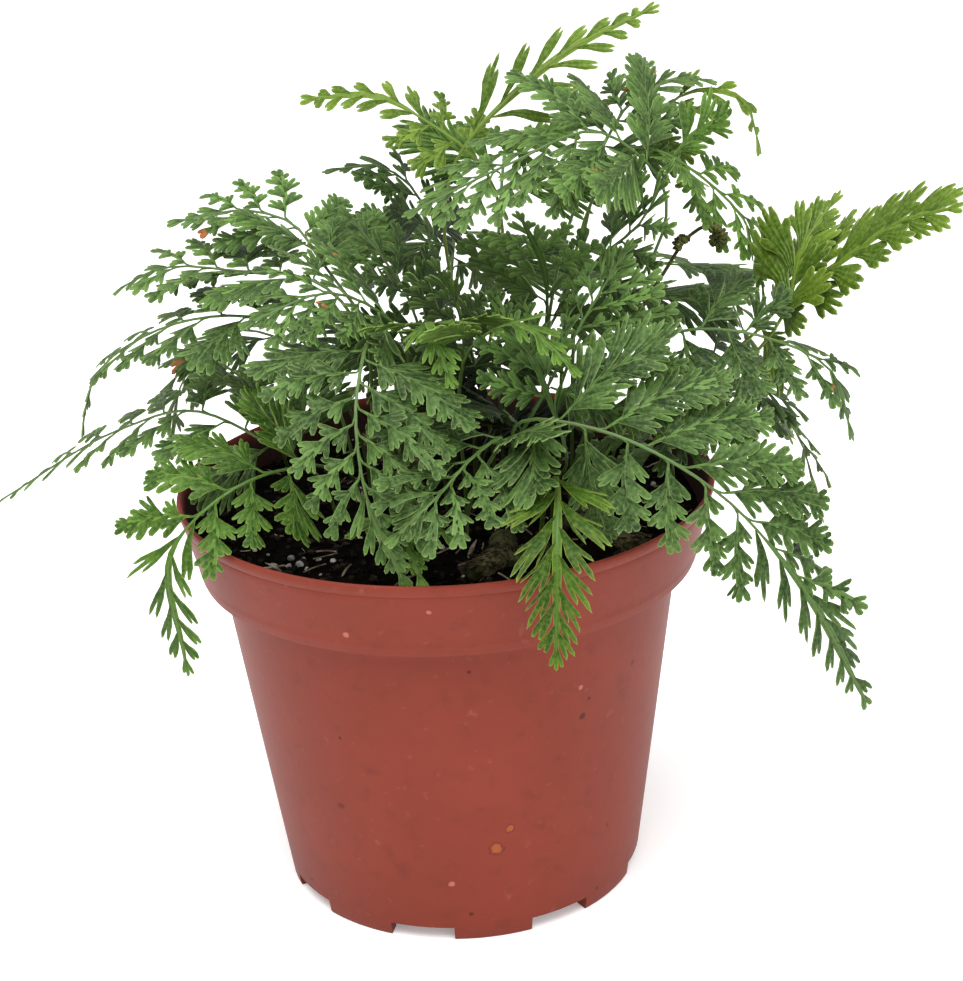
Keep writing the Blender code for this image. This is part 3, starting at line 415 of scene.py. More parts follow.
class Rib:
    """A smooth line through given points, read by its share of the length."""

    STEPS = 12

    def __init__(self, points):
        knots = [Vector(p) for p in points]
        spans = [(b - a).length for a, b in zip(knots, knots[1:])]
        runs = [(b - a) / span for a, b, span in zip(knots, knots[1:], spans)]
        leans = [runs[0]]
        for before, after, run, next_run in zip(spans, spans[1:], runs, runs[1:]):
            leans.append((run * after + next_run * before) / (before + after))
        leans.append(runs[-1])
        self.points = []
        for index, span in enumerate(spans):
            ends = knots[index], knots[index + 1], leans[index] * span, leans[index + 1] * span
            for step in range(self.STEPS):
                self.points.append(self.blend(*ends, step / self.STEPS))
        self.points.append(knots[-1])
        self.marks = [0.0]
        for start, end in zip(self.points, self.points[1:]):
            self.marks.append(self.marks[-1] + (end - start).length)
        self.length = self.marks[-1]

    @staticmethod
    def blend(start, end, lean_out, lean_in, t):
        return (start * (2 * t ** 3 - 3 * t ** 2 + 1) + lean_out * (t ** 3 - 2 * t ** 2 + t)
                + end * (3 * t ** 2 - 2 * t ** 3) + lean_in * (t ** 3 - t ** 2))

    def at(self, share):
        """The point at a share of the length, and the direction there."""
        mark = min(max(share, 0.0), 1.0) * self.length
        index = 0
        while index < len(self.marks) - 2 and self.marks[index + 1] < mark:
            index += 1
        start, end = self.points[index], self.points[index + 1]
        part = (mark - self.marks[index]) / (self.marks[index + 1] - self.marks[index])
        before = self.points[max(index - 1, 0)]
        after = self.points[min(index + 2, len(self.points) - 1)]
        return start.lerp(end, part), (after - before).normalized()


def mix(a, b, share):
    return a + (b - a) * share


def frond_rib(frond):
    """The frond's whole line, and the share of it at which the leaflets start."""
    x, y = frond.base
    foot = (x, y, SOIL_EDGE_HEIGHT - STEM_DEPTH)
    collar = (x, y, SOIL_MIDDLE_HEIGHT + COLLAR_RISE)
    rib = Rib((foot, collar) + frond.path)
    return rib, rib.marks[2 * Rib.STEPS] / rib.length


def frond_frame(frond, rib, start, share):
    """Place, direction, right-hand side and upper side of the midrib."""
    place, along = rib.at(share)
    reach = Vector(frond.path[-1]) - Vector(frond.path[0])
    side = Vector((reach.y, -reach.x, 0.0)).normalized()
    side = (side - along * side.dot(along)).normalized()
    upper = side.cross(along)
    grown = max(0.0, (share - start) / (1.0 - start))
    roll = math.radians(mix(frond.roll[0], frond.roll[1], grown) * min(1.0, share / start))
    turned = side * math.cos(roll) + upper * math.sin(roll)
    return place, along, turned, turned.cross(along)


def frond_pinnae(frond, rib, start):
    """The side branches by rule: long and wide apart below, short and close at the tip."""
    draw = random.Random(frond.name)
    blade = rib.length * (1.0 - start)
    pinnae = []
    for pair in range(frond.pairs):
        here = 1.0 - (1.0 - pair / frond.pairs) ** 1.3
        after = 1.0 - (1.0 - (pair + 1) / frond.pairs) ** 1.3
        gap = (after - here) * 0.94
        for side in (1, -1):
            grown = FIRST_NODE + here * 0.94 + (0.0 if side > 0 else NODE_STAGGER * gap)
            length = frond.spread * (1.0 - grown) ** frond.taper * draw.uniform(0.9, 1.06)
            length *= frond.right if side > 0 else 1.0
            near = start + (1.0 - start) * grown
            far = near + NODE_LENGTH / rib.length
            angle = mix(TIP_ANGLE, BASE_ANGLE, (1.0 - grown) ** ANGLE_FALL) + draw.uniform(-4, 4)
            angle -= frond.lean if side < 0 else 0.0
            reach = min(LEAFLET_REACH * gap * blade, BRANCH_BREADTH * length) * mix(1.1, 0.65, grown)
            lower = 1.5 if pair == 0 else 1.0
            tilt = draw.uniform(-5, 5)
            pinnae.append(Pinna(side, near, far, length, angle, reach, lower, tilt, BRANCH_SAG))
    return pinnae


def pinna_line(frond, rib, start, pinna):
    """The branch's own rib and the upper side of its blade."""
    place, along, side, upper = frond_frame(frond, rib, start, (pinna.near + pinna.far) / 2)
    angle, tilt = math.radians(pinna.angle), math.radians(pinna.tilt)
    out = side * pinna.side * math.cos(tilt) + upper * math.sin(tilt)
    heading = along * math.cos(angle) + out * math.sin(angle)
    root = place + side * pinna.side * RACHIS_HALF_WIDTH
    middle = root + heading * pinna.length * 0.55 - UP * pinna.sag * pinna.length * 0.2
    end = root + heading * pinna.length + along * pinna.length * 0.12 - UP * pinna.sag * pinna.length
    return Rib((root, middle, end)), along, upper


def stem_halves(start, share):
    """Half the width and half the thickness of the stem or midrib."""
    if share < start:
        width = mix(STIPE_HALF_WIDTH, RACHIS_HALF_WIDTH, share / start)
        return width, mix(STIPE_HALF_WIDTH, RACHIS_HALF_THICKNESS, share / start)
    grown = (share - start) / (1.0 - start)
    width = mix(RACHIS_HALF_WIDTH, TIP_HALF_WIDTH, grown)
    return width, mix(RACHIS_HALF_THICKNESS, BLADE_HALF_THICKNESS, grown)


def at_solid_tip(corners, end):
    """Whether two corners of the solid stand face to face around this branch tip."""
    near = [place for place, _, gap in corners.find_range(end, BLADE_HALF_THICKNESS + TIP_TOLERANCE)
            if gap > BLADE_HALF_THICKNESS - TIP_TOLERANCE]
    return any(((a + b) / 2 - end).length < TIP_TOLERANCE for a in near for b in near)


def grown_pinnae(frond, rib, start):
    """The branches, with the tilt and length that the solid's own branch tips show."""
    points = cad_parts[frond.name].data.vertices
    corners = kdtree.KDTree(len(points))
    for index, point in enumerate(points):
        corners.insert(point.co / MM, index)
    corners.balance()
    kept = []
    for pinna in frond_pinnae(frond, rib, start):
        for size, tilt in [(s, t) for s in LENGTH_CHOICES for t in TILT_CHOICES]:
            tried = pinna._replace(length=pinna.length * size, tilt=pinna.tilt + tilt)
            if at_solid_tip(corners, pinna_line(frond, rib, start, tried)[0].at(1.0)[0]):
                kept.append(tried)
                break
    return kept


class Skin:
    """The closed thin pieces of one frond, with the values that its colour depends on."""

    VALUES = ("tone", "margin", "under", "vein", "dry")

    def __init__(self):
        self.verts = []
        self.faces = []
        self.kinds = []
        self.values = {name: [] for name in self.VALUES}

    def add(self, verts, faces, kind, **values):
        first = len(self.verts)
        self.verts += verts
        self.faces += [tuple(first + k for k in face) for face in faces]
        self.kinds += [kind] * len(faces)
        for name in self.VALUES:
            value = values[name]
            self.values[name] += value if isinstance(value, list) else [value] * len(verts)


LEAF, STALK = 0, 1

# Outline of a leaflet: (share along, half width) rows below the teeth, where its
# sides end, how rounded its end is, how far the teeth spread, the lowest cut, and how
# narrow and how high the shoulders of a tooth are
Outline = namedtuple("Outline", "rows side_start side_half end_curve spread lowest_cut narrow high")
FAN = Outline(((0.15, 0.24), (0.36, 0.50)), 0.58, 0.84, 0.32, 1.18, 0.45, 0.13, 0.76)
LOBE = Outline(((0.14, 0.26), (0.32, 0.46)), 0.46, 0.74, 0.52, 1.34, 0.40, 0.20, 0.70)
PLANS = {}


def closed(faces, count):
    """A blade's upper faces, the same faces below it and the rim between the two."""
    edges = {(f[k], f[(k + 1) % len(f)]) for f in faces for k in range(len(f))}
    whole = list(faces) + [tuple(k + count for k in reversed(face)) for face in faces]
    for a, b in sorted(edges):
        if (b, a) not in edges:
            whole.append((b, a, a + count, b + count))
    return whole


def blade_plan(teeth, rows):
    """Faces of a leaflet with so many teeth and rows, and how many points its upper side has."""
    if (teeth, rows) in PLANS:
        return PLANS[teeth, rows]
    columns = teeth + 1

    def at(row, column):
        return 1 + row * columns + column

    faces = [(0, at(0, k), at(0, k + 1)) for k in range(teeth)]
    for row in range(rows - 1):
        for k in range(teeth):
            faces.append((at(row, k), at(row + 1, k), at(row + 1, k + 1), at(row, k + 1)))
    first = 1 + (rows + 1) * columns
    for k in range(teeth):
        middle, left, right, tip = (first + 4 * k + corner for corner in range(4))
        around = (at(rows - 1, k), at(rows, k), left, tip, right, at(rows, k + 1), at(rows - 1, k + 1))
        for a, b in zip(around, around[1:] + around[:1]):
            faces.append((a, b, middle))
    PLANS[teeth, rows] = closed(faces, first + 4 * teeth)
    return PLANS[teeth, rows]


def blade_marks(outline, cut, teeth, draw):
    """Where a leaflet's points lie: (share along, share across, is margin, vein) of each."""
    marks = [(0.0, 0.0, 1.0, teeth / 2)]
    for share, half in outline.rows:
        for k in range(teeth + 1):
            margin = 1.0 if k in (0, teeth) else 0.0
            marks.append((share, (2 * k / teeth - 1) * half, margin, float(k)))
    cuts = []
    for k in range(teeth + 1):
        edge = 2 * k / teeth - 1
        if k in (0, teeth):
            cuts.append((outline.side_start + draw.uniform(-0.03, 0.05), edge * outline.side_half))
        else:
            depth = cut * draw.uniform(0.7, 1.15)
            cuts.append((max(outline.lowest_cut, 1.0 - outline.end_curve * edge ** 2 - depth), edge * 0.9))
        marks.append((*cuts[-1], 1.0, float(k)))
    for k in range(teeth):
        middle = (2 * k + 1) / teeth - 1
        end = 1.0 - outline.end_curve * middle ** 2 + draw.uniform(-0.03, 0.03)
        tip = Vector((end, middle * outline.spread))
        left, right = Vector(cuts[k]), Vector(cuts[k + 1])
        foot = (left + right) / 2
        marks.append((*foot.lerp(tip, 0.12), 0.0, k + 0.5))
        for corner, vein in ((left, k + 0.15), (right, k + 0.85)):
            shoulder = corner.lerp(foot, outline.narrow) + (tip - foot) * outline.high
            marks.append((*shoulder, 1.0, vein))
        marks.append((*tip, 1.0, k + 0.5))
    return marks


def add_blade(skin, points, plan, tones, dry):
    """A closed thin blade from its middle surface's (place, facing, half, margin, vein) points."""
    upper = [place + facing * half for place, facing, half, _, _ in points]
    lower = [place - facing * half for place, facing, half, _, _ in points]
    skin.add(upper + lower, plan, LEAF, tone=tones * 2, margin=[point[3] for point in points] * 2,
             under=[0.0] * len(points) + [1.0] * len(points), vein=[point[4] for point in points] * 2,
             dry=dry * 2)


def dryness(draw, shares):
    """Brown tips on a few leaflets: how dry each point is."""
    reach = draw.uniform(0.55, 0.85) if draw.random() < DRY_SHARE else 2.0
    return [1.0 if share > reach else 0.0 for share in shares]


def add_leaflet(skin, style, draw, root, heading, normal, length, width, tone, bend=0.0, roll=0.0):
    """One wedge-shaped leaflet: narrow at its root, toothed at its end, arched across."""
    teeth = draw.choice(style.teeth) if length > LONG_LEAFLET else min(style.teeth)
    teeth += 1 if width > WIDE_LEAFLET else 0
    level = normal.cross(heading).normalized()
    turn = math.radians(roll)
    side = level * math.cos(turn) + normal * math.sin(turn)
    normal = normal * math.cos(turn) - level * math.sin(turn)
    half_width = width * 0.5 * draw.uniform(0.92, 1.1)
    arch = style.arch * draw.uniform(0.4, 1.2)
    droop = draw.uniform(-0.02, 0.13)
    points = []
    for along, across, margin, vein in blade_marks(FAN, style.cut, teeth, draw):
        flat = root + heading * (length * along) + side * (across * half_width + bend * length * along ** 2)
        place = flat - normal * (arch * across ** 2 * half_width + droop * length * along ** 2)
        facing = (normal + side * (2 * arch * across) + heading * (2 * droop * along)).normalized()
        points.append((place, facing, LEAF_HALF_THICKNESS * (1.0 - 0.4 * along), margin, vein))
    shares = [min(1.0, (point[0] - root).length / length) for point in points]
    # Painted shade: darker towards the leaflet's root
    tones = [tone * mix(ROOT_SHADE_TONE, 1.0, share) for share in shares]
    add_blade(skin, points, blade_plan(teeth, len(FAN.rows)), tones, dryness(draw, shares))


def add_lobe(skin, draw, spine, upper, width, cut, tone):
    """An undivided leaflet on a curved line: a long wedge that ends in teeth pointing forwards."""
    teeth = 2 + sum(width > step for step in LOBE_TEETH)
    arch, sag = draw.uniform(0.05, 0.35), draw.uniform(-0.03, 0.10)
    points = []
    marks = blade_marks(LOBE, cut, teeth, draw)
    for share, across, margin, vein in marks:
        place, along = spine.at(share)
        normal = (upper - along * upper.dot(along)).normalized()
        side = normal.cross(along)
        half = width * 0.5 * across
        place = place + side * half - normal * (arch * abs(across * half) + sag * spine.length * share ** 2)
        points.append((place, (normal + side * (2 * arch * across)).normalized(),
                       LEAF_HALF_THICKNESS * (1.0 - 0.3 * share), margin, vein))
    # Painted shade: darker towards the leaflet's root
    tones = [tone * mix(ROOT_SHADE_TONE, 1.0, mark[0]) for mark in marks]
    add_blade(skin, points, blade_plan(teeth, len(LOBE.rows)), tones, [0.0] * len(tones))


def lobe_spine(frond, rib, start, pinna, line, forward, reach):
    """The curved middle line of an undivided leaflet, which leaves the midrib at a slant."""
    back = min(3.2, 0.32 * pinna.length)
    sweep = forward * (LOBE_SWEEP * pinna.length)
    place, _, side, _ = frond_frame(frond, rib, start, (pinna.near + pinna.far) / 2 - back / rib.length)
    foot = place + side * (pinna.side * 0.2)
    end = line.at(reach)[0] + sweep
    return Rib((foot, line.at(0.24)[0] + sweep * 0.2, line.at(0.65 * reach)[0] + sweep * 0.6, end))


def ring_faces(rings, sides, first=0, rising=False):
    """Faces between rings of points that follow one another from the first point on.

    Their outer sides are right for rings that run down the solid, or for rising ones.
    """
    faces = []
    for ring in range(rings - 1):
        low = first + ring * sides
        for k in range(sides):
            a, b = low + k, low + (k + 1) % sides
            faces.append((a, b, b + sides, a + sides) if rising else (a, a + sides, b + sides, b))
    return faces


def add_stalk(skin, places, sides, tone, kind=STALK):
    """A closed tube through (place, across, upper, half width, half thickness) rows."""
    verts, edge = [], []
    for place, across, upper, width, thickness in places:
        for k in range(sides):
            angle = 2 * math.pi * k / sides
            verts.append(place + across * (math.cos(angle) * width) + upper * (math.sin(angle) * thickness))
            edge.append(abs(math.cos(angle)))
    faces = ring_faces(len(places), sides)
    faces.append(tuple(range(sides)))
    faces.append(tuple(reversed(range(len(verts) - sides, len(verts)))))
    skin.add(verts, faces, kind, tone=tone, margin=edge, under=0.0, vein=0.0, dry=0.0)


def section(line, share, forward, upper):
    """Place on a branch, its direction, and the ways across it and out of its blade."""
    place, along = line.at(share)
    across = (forward - along * forward.dot(along)).normalized()
    normal = upper - along * upper.dot(along)
    normal = (normal - across * normal.dot(across)).normalized()
    return place, along, across, normal


def fullness(share):
    """How much of its full reach a branch's outline has at a share of its length."""
    return (1.0 - share ** 2.2) ** 0.5


def branch_foot(frond, rib, start, pinna, across):
    """Rows with which a branch's rib leaves the midrib in a curve."""
    rows = []
    for back, out, bent in BRANCH_FOOT:
        share = max(0.0, (pinna.near + pinna.far) / 2 - back / rib.length)
        place, _, side, upper = frond_frame(frond, rib, start, share)
        axis = (across * bent - side * (1.0 - bent)).normalized()
        rows.append((place + side * pinna.side * out, axis, upper, RIB_HALF_WIDTH, RIB_HALF_WIDTH))
    return rows


def leaf_age(frond, start, pinna):
    """How light a branch's leaflets are by its place on the frond and by its frond."""
    return AGE_TONE * (pinna.near - start) / (1.0 - start) + TONE_SHIFTS.get(frond.name, 0.0)


def add_branch_rib(skin, at, rows, side, tone):
    """A branch's thin rib, which starts with the given rows, and the wings along it."""
    wings = []
    for step in range(BRANCH_STEPS + 1):
        share = 0.96 * step / BRANCH_STEPS
        place, _, across, normal = at(share)
        width = mix(RIB_HALF_WIDTH, RIB_TIP_HALF_WIDTH, share)
        rows.append((place, across * side, normal, width, width))
        wide = mix(*BRANCH_WING_WIDTHS, share)
        wings.append((place, across * side, normal, wide, BRANCH_WING_HALF_THICKNESS))
    add_stalk(skin, rows, RIB_SIDES, RIB_TONE, LEAF)
    add_stalk(skin, wings, WING_SIDES, tone, LEAF)


def add_side_leaflet(skin, at, pinna, style, draw, share, sign, age):
    """One leaflet of a branch, on the side of the branch that the sign says."""
    place, along, across, normal = at(share)
    turn = math.radians(mix(*BRANCH_LEANS, share) + draw.uniform(-4, 4))
    reach = pinna.reach * (pinna.lower if sign < 0 else 1.0) * fullness(share)
    length = reach / (math.sin(turn) + BRANCH_BEND * math.cos(turn))
    length = max(SHORTEST_LEAFLET, length) * draw.uniform(0.96, 1.14)
    heading = along * math.cos(turn) + across * (sign * math.sin(turn))
    left = 1 if normal.cross(heading).dot(along) > 0 else -1
    width = min(style.width, length * 0.62)
    roll = left * SHINGLE_DEG + draw.uniform(-5, 5)
    tone = age + TONE_SPREAD * draw.random()
    add_leaflet(skin, style, draw, place, heading, normal, length, width, tone, -BRANCH_BEND * left, roll)


def add_branch(skin, frond, rib, start, pinna, style, draw):
    """A side branch: a thin winged rib with leaflets on both sides and one at its end."""
    line, forward, upper = pinna_line(frond, rib, start, pinna)

    def at(share):
        return section(line, share, forward, upper)

    age = leaf_age(frond, start, pinna)
    rows = branch_foot(frond, rib, start, pinna, at(0.0)[2] * pinna.side)
    add_branch_rib(skin, at, rows, pinna.side, age + TONE_SPREAD * draw.random())
    first = 0.08 if pinna.length > 12.0 else 0.04
    run = BRANCH_END - first
    count = max(2, round(pinna.length * run / style.pitch))
    for k in range(count):
        for sign, offset in ((1, 0.1), (-1, 0.5)):
            share = first + run * (k + offset) / count
            add_side_leaflet(skin, at, pinna, style, draw, share, sign, age)
    place, along, _, normal = at(0.9)
    length = max(4.0, pinna.reach * 0.9)
    width = min(style.width * 1.2, length * 0.75)
    tone = age + TONE_SPREAD * draw.random()
    add_leaflet(skin, style, draw, place, along, normal, length, width, tone, 0.0, draw.uniform(-6, 6))


def add_undivided(skin, frond, rib, start, pinna, tone, draw):
    """A side branch that is one undivided leaflet."""
    lobes = LOBES.get(frond.look, OTHER_LOBES)
    line, forward, upper = pinna_line(frond, rib, start, pinna)
    spine = lobe_spine(frond, rib, start, pinna, line, forward, lobes.reach)
    width = min(max(lobes.breadth * frond.breadth * pinna.length, LOBE_NARROWEST), lobes.widest)
    add_lobe(skin, draw, spine, upper, width, lobes.cut, tone)


def add_stem(skin, frond, rib, start):
    """Stem and midrib in one tube, flatter where the leaflets stand."""
    rows = []
    steps = max(16, round(rib.length / STEM_STEP))
    for step in range(steps + 1):
        share = step / steps
        place, _, across, upper = frond_frame(frond, rib, start, share)
        width, thickness = stem_halves(start, share)
        rows.append((place, across, upper, width * STEM_SLIMNESS, thickness * STEM_SLIMNESS))
    add_stalk(skin, rows, STEM_SIDES, RIB_TONE)


def add_wings(skin, frond, rib, start, pinnae):
    """The narrow strip of leaf along the midrib where its leaflets are undivided."""
    undivided = [pinna.near for pinna in pinnae if pinna.length <= frond.simple]
    if not undivided:
        return
    first = min(undivided)
    rows = []
    steps = max(4, round((1.0 - first) * rib.length / WING_STEP))
    for step in range(steps + 1):
        done = step / steps
        place, _, across, upper = frond_frame(frond, rib, start, mix(first, 0.995, done))
        half = WING_HALF_WIDTH * min(1.0, 0.35 + 2.0 * step / steps, 0.45 + 1.5 * (1.0 - done))
        rows.append((place, across, upper, half, WING_HALF_THICKNESS))
    add_stalk(skin, rows, WING_SIDES, WING_TONE, LEAF)


def frond_skin(frond):
    """All of one frond's visible form."""
    rib, start = frond_rib(frond)
    style = STYLES[frond.look]
    draw = random.Random(frond.name + " leaflets")
    skin = Skin()
    add_stem(skin, frond, rib, start)
    pinnae = grown_pinnae(frond, rib, start)
    add_wings(skin, frond, rib, start, pinnae)
    for pinna in pinnae:
        tone = leaf_age(frond, start, pinna) + TONE_SPREAD * draw.random()
        if pinna.length > frond.simple:
            add_branch(skin, frond, rib, start, pinna, style, draw)
        else:
            add_undivided(skin, frond, rib, start, pinna, tone, draw)
    place, along, _, upper = frond_frame(frond, rib, start, 0.985)
    add_leaflet(skin, style, draw, place, along, upper, *TIP_LEAFLET)
    return skin


def add_mesh(name, verts, faces, finishes, kinds=None, values=None, sharp_deg=40.0):
    """A named object from millimetre points, with its materials and point values."""
    mesh = bpy.data.meshes.new(name)
    mesh.from_pydata([tuple(Vector(v) * MM) for v in verts], [], faces)
    for finish in finishes:
        mesh.materials.append(finish)
    if kinds:
        mesh.polygons.foreach_set("material_index", kinds)
    for key, numbers in (values or {}).items():
        mesh.attributes.new(key, "FLOAT", "POINT").data.foreach_set("value", numbers)
    mesh.shade_smooth()
    mesh.set_sharp_from_angle(angle=math.radians(sharp_deg))
    mesh.update()
    made = bpy.data.objects.new(name, mesh)
    bpy.context.scene.collection.objects.link(made)
    return made


def set_inputs(node, values):
    for name, value in values.items():
        node.inputs[name].default_value = value


class Shader:
    """A small helper that adds and links nodes of one material."""

    def __init__(self, name, roughness, specular=0.5):
        self.material = bpy.data.materials.new(name)
        self.material.use_nodes = True
        self.tree = self.material.node_tree
        self.surface = self.tree.nodes["Principled BSDF"]
        set_inputs(self.surface, {"Roughness": roughness, "Specular IOR Level": specular})

    def node(self, kind, **settings):
        made = self.tree.nodes.new(kind)
        for key, value in settings.items():
            setattr(made, key, value)
        return made

    def link(self, source, target):
        self.tree.links.new(source, target)

    def value(self, name):
        return self.node("ShaderNodeAttribute", attribute_name=name).outputs["Fac"]

    def place(self):
        return self.node("ShaderNodeTexCoord").outputs["Object"]

    def noise(self, scale, detail=3.0, roughness=0.55):
        made = self.node("ShaderNodeTexNoise")
        set_inputs(made, {"Scale": scale, "Detail": detail, "Roughness": roughness})
        self.link(self.place(), made.inputs["Vector"])
        return made.outputs["Fac"]

    def distance(self, place):
        """How far the surface is from a point given in millimetres."""
        made = self.node("ShaderNodeVectorMath", operation="DISTANCE")
        self.link(self.place(), made.inputs[0])
        made.inputs[1].default_value = place * MM
        return made.outputs["Value"]

    def math(self, operation, a, b=None):
        made = self.node("ShaderNodeMath", operation=operation)
        for index, item in enumerate((a, b)):
            if item is None:
                continue
            if isinstance(item, (int, float)):
                made.inputs[index].default_value = item
            else:
                self.link(item, made.inputs[index])
        return made.outputs[0]

    def mapped(self, source, low, high, new_low=0.0, new_high=1.0):
        made = self.node("ShaderNodeMapRange")
        made.interpolation_type = "SMOOTHSTEP"
        set_inputs(made, {"From Min": low, "From Max": high, "To Min": new_low, "To Max": new_high})
        self.link(source, made.inputs["Value"])
        return made.outputs["Result"]

    def mixed(self, share, first, second):
        """A colour between two, each a plain colour or a node's output."""
        made = self.node("ShaderNodeMix", data_type="RGBA")
        for socket, item in ((made.inputs[0], share), (made.inputs[6], first), (made.inputs[7], second)):
            if isinstance(item, (int, float)):
                socket.default_value = item
            elif isinstance(item, tuple):
                socket.default_value = (*item, 1.0)
            else:
                self.link(item, socket)
        return made.outputs[2]

    def colour(self, source):
        self.link(source, self.surface.inputs["Base Color"])

    def bump(self, height, strength, distance_mm):
        made = self.node("ShaderNodeBump")
        set_inputs(made, {"Strength": strength, "Distance": distance_mm * MM})
        self.link(height, made.inputs["Height"])
        self.link(made.outputs["Normal"], self.surface.inputs["Normal"])


def leaf_material(look):
    """Green blade: uneven tone, pale margins and underside, veins as shallow grooves with painted shade
    along them, and painted shade on the leaves deep inside the crown.
    """
    shaded, lit, margin_colour = LEAF_COLOURS[look]
    shader = Shader("leaf_" + look, 0.48, 0.14)
    patches = shader.mapped(shader.noise(260.0), 0.0, 1.0, 0.21, 0.41)
    tone = shader.math("ADD", shader.math("MULTIPLY", shader.value("tone"), 0.55), patches)
    body = shader.mixed(shader.mapped(tone, 0.22, 1.12), shaded, lit)
    groove = shader.math("PINGPONG", shader.value("vein"), 0.5)
    # Painted shade down the middle groove of each tooth
    body = shader.mixed(shader.mapped(groove, 0.30, 0.5, 0.0, 0.35), body, shaded)
    fleck = shader.mapped(shader.noise(1300.0, 2.0), 0.35, 0.7, 0.0, 0.22)
    body = shader.mixed(fleck, body, margin_colour)
    margin = shader.math("POWER", shader.value("margin"), 9.0)
    body = shader.mixed(shader.math("MULTIPLY", margin, 0.7), body, margin_colour)
    pale = tuple(mix(c, sum(margin_colour) / 3, 0.15) for c in margin_colour)
    body = shader.mixed(shader.math("MULTIPLY", shader.value("under"), 0.25), body, pale)
    # Painted shade: leaves deep inside the crown darken towards a dark copy of the shaded colour
    shade = shader.mapped(shader.value("depth"), 0.22, 0.80, DEEP_SHADE, 0.0)
    dry = shader.mixed(shader.noise(500.0), *DRY_COLOURS)
    body = shader.mixed(shader.mapped(shader.value("dry"), 0.2, 0.7), body, dry)
    shader.colour(shader.mixed(shade, body, tuple(c * 0.2 for c in shaded)))
    fine = shader.math("MULTIPLY", shader.noise(900.0), 0.1)
    shader.bump(shader.math("ADD", groove, fine), 0.8, 0.35)
    return shader.material


def stalk_material(look):
    """Stems and midribs: dark along the middle with pale edges, browner in places, and with painted shade
    deep inside the crown.
    """
    shaded, lit, margin_colour = LEAF_COLOURS[look]
    shader = Shader("stalk_" + look, 0.45, 0.35)
    base = tuple(mix(a, b, 0.45) for a, b in zip(shaded, lit))
    brown = tuple(mix(c, b, 0.35) for c, b in zip(base, STALK_BROWN))
    body = shader.mixed(shader.mapped(shader.noise(90.0), 0.45, 0.7), base, brown)
    edge = shader.math("POWER", shader.value("margin"), 5.0)
    body = shader.mixed(shader.math("MULTIPLY", edge, 0.6), body, tuple(c * 0.8 for c in margin_colour))
    # Painted shade: stalks deep inside the crown darken
    shade = shader.mapped(shader.value("depth"), 0.2, 0.7, DEEP_SHADE, 0.0)
    shader.colour(shader.mixed(shade, body, tuple(c * 0.15 for c in lit)))
    shader.bump(shader.noise(700.0), 0.3, 0.15)
    return shader.material


def canopy_depth(place):
    """0 in the shade deep in the plant and 1 at its outside."""
    x, y, z = (part / size for part, size in zip(place - CANOPY_MIDDLE, CANOPY_SIZE))
    return min(1.0, math.sqrt(x * x + y * y + z * z))


def build_frond(frond, leaf_finish, stalk_finish):
    skin = frond_skin(frond)
    skin.values["depth"] = [canopy_depth(place) for place in skin.verts]
    finishes = leaf_finish, stalk_finish
    piece = add_mesh(frond.name + "_leaves", skin.verts, skin.faces, finishes, skin.kinds, skin.values)
    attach(piece, "root")
    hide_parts(frond.name)


def circle(radius, sides, x=0.0, y=0.0):
    """Evenly spaced points of a circle around (x, y)."""
    angles = [2 * math.pi * k / sides for k in range(sides)]
    return [(x + radius * math.cos(angle), y + radius * math.sin(angle)) for angle in angles]


def turned(profile, sides):
    """A closed solid turned from (radius, height) points, with its ends on the axis."""
    verts, faces, rows = [], [], []
    for radius, height in profile:
        if radius == 0.0:
            rows.append([len(verts)] * sides)
            verts.append((0.0, 0.0, height))
            continue
        rows.append(list(range(len(verts), len(verts) + sides)))
        verts += [(x, y, height) for x, y in circle(radius, sides)]
    for low, high in zip(rows, rows[1:]):
        for k in range(sides):
            face = [low[k], low[(k + 1) % sides], high[(k + 1) % sides], high[k]]
            faces.append(tuple(dict.fromkeys(face)))
    return verts, faces


def prisms(outlines, low, high):
    """Upright prisms over outlines of (x, y) corners, in one mesh."""
    verts, faces = [], []
    for outline in outlines:
        first, sides = len(verts), len(outline)
        verts += [(x, y, height) for height in (low, high) for x, y in outline]
        faces.append(tuple(first + k for k in reversed(range(sides))))
        faces.append(tuple(first + sides + k for k in range(sides)))
        faces += ring_faces(2, sides, first, rising=True)
    return verts, faces


def cut_out(target, cutters):
    """Cuts the cutters out of the target's mesh and removes them."""
    for cutter in cutters:
        modifier = target.modifiers.new("cut", "BOOLEAN")
        modifier.operation = "DIFFERENCE"
        modifier.solver = "EXACT"
        modifier.object = cutter
    graph = bpy.context.evaluated_depsgraph_get()
    mesh = bpy.data.meshes.new_from_object(target.evaluated_get(graph))
    target.modifiers.clear()
    target.data = mesh
    for cutter in cutters:
        bpy.data.objects.remove(cutter)


def slope(low, high, steps):
    """The (radius, height) points on a straight wall between two others."""
    shares = [step / steps for step in range(1, steps)]
    return [(mix(low[0], high[0], share), mix(low[1], high[1], share)) for share in shares]


def beside(radius, height, *offsets):
    """Points at the given offsets from one corner of the section."""
    return [(radius + out, height + up) for out, up in offsets]


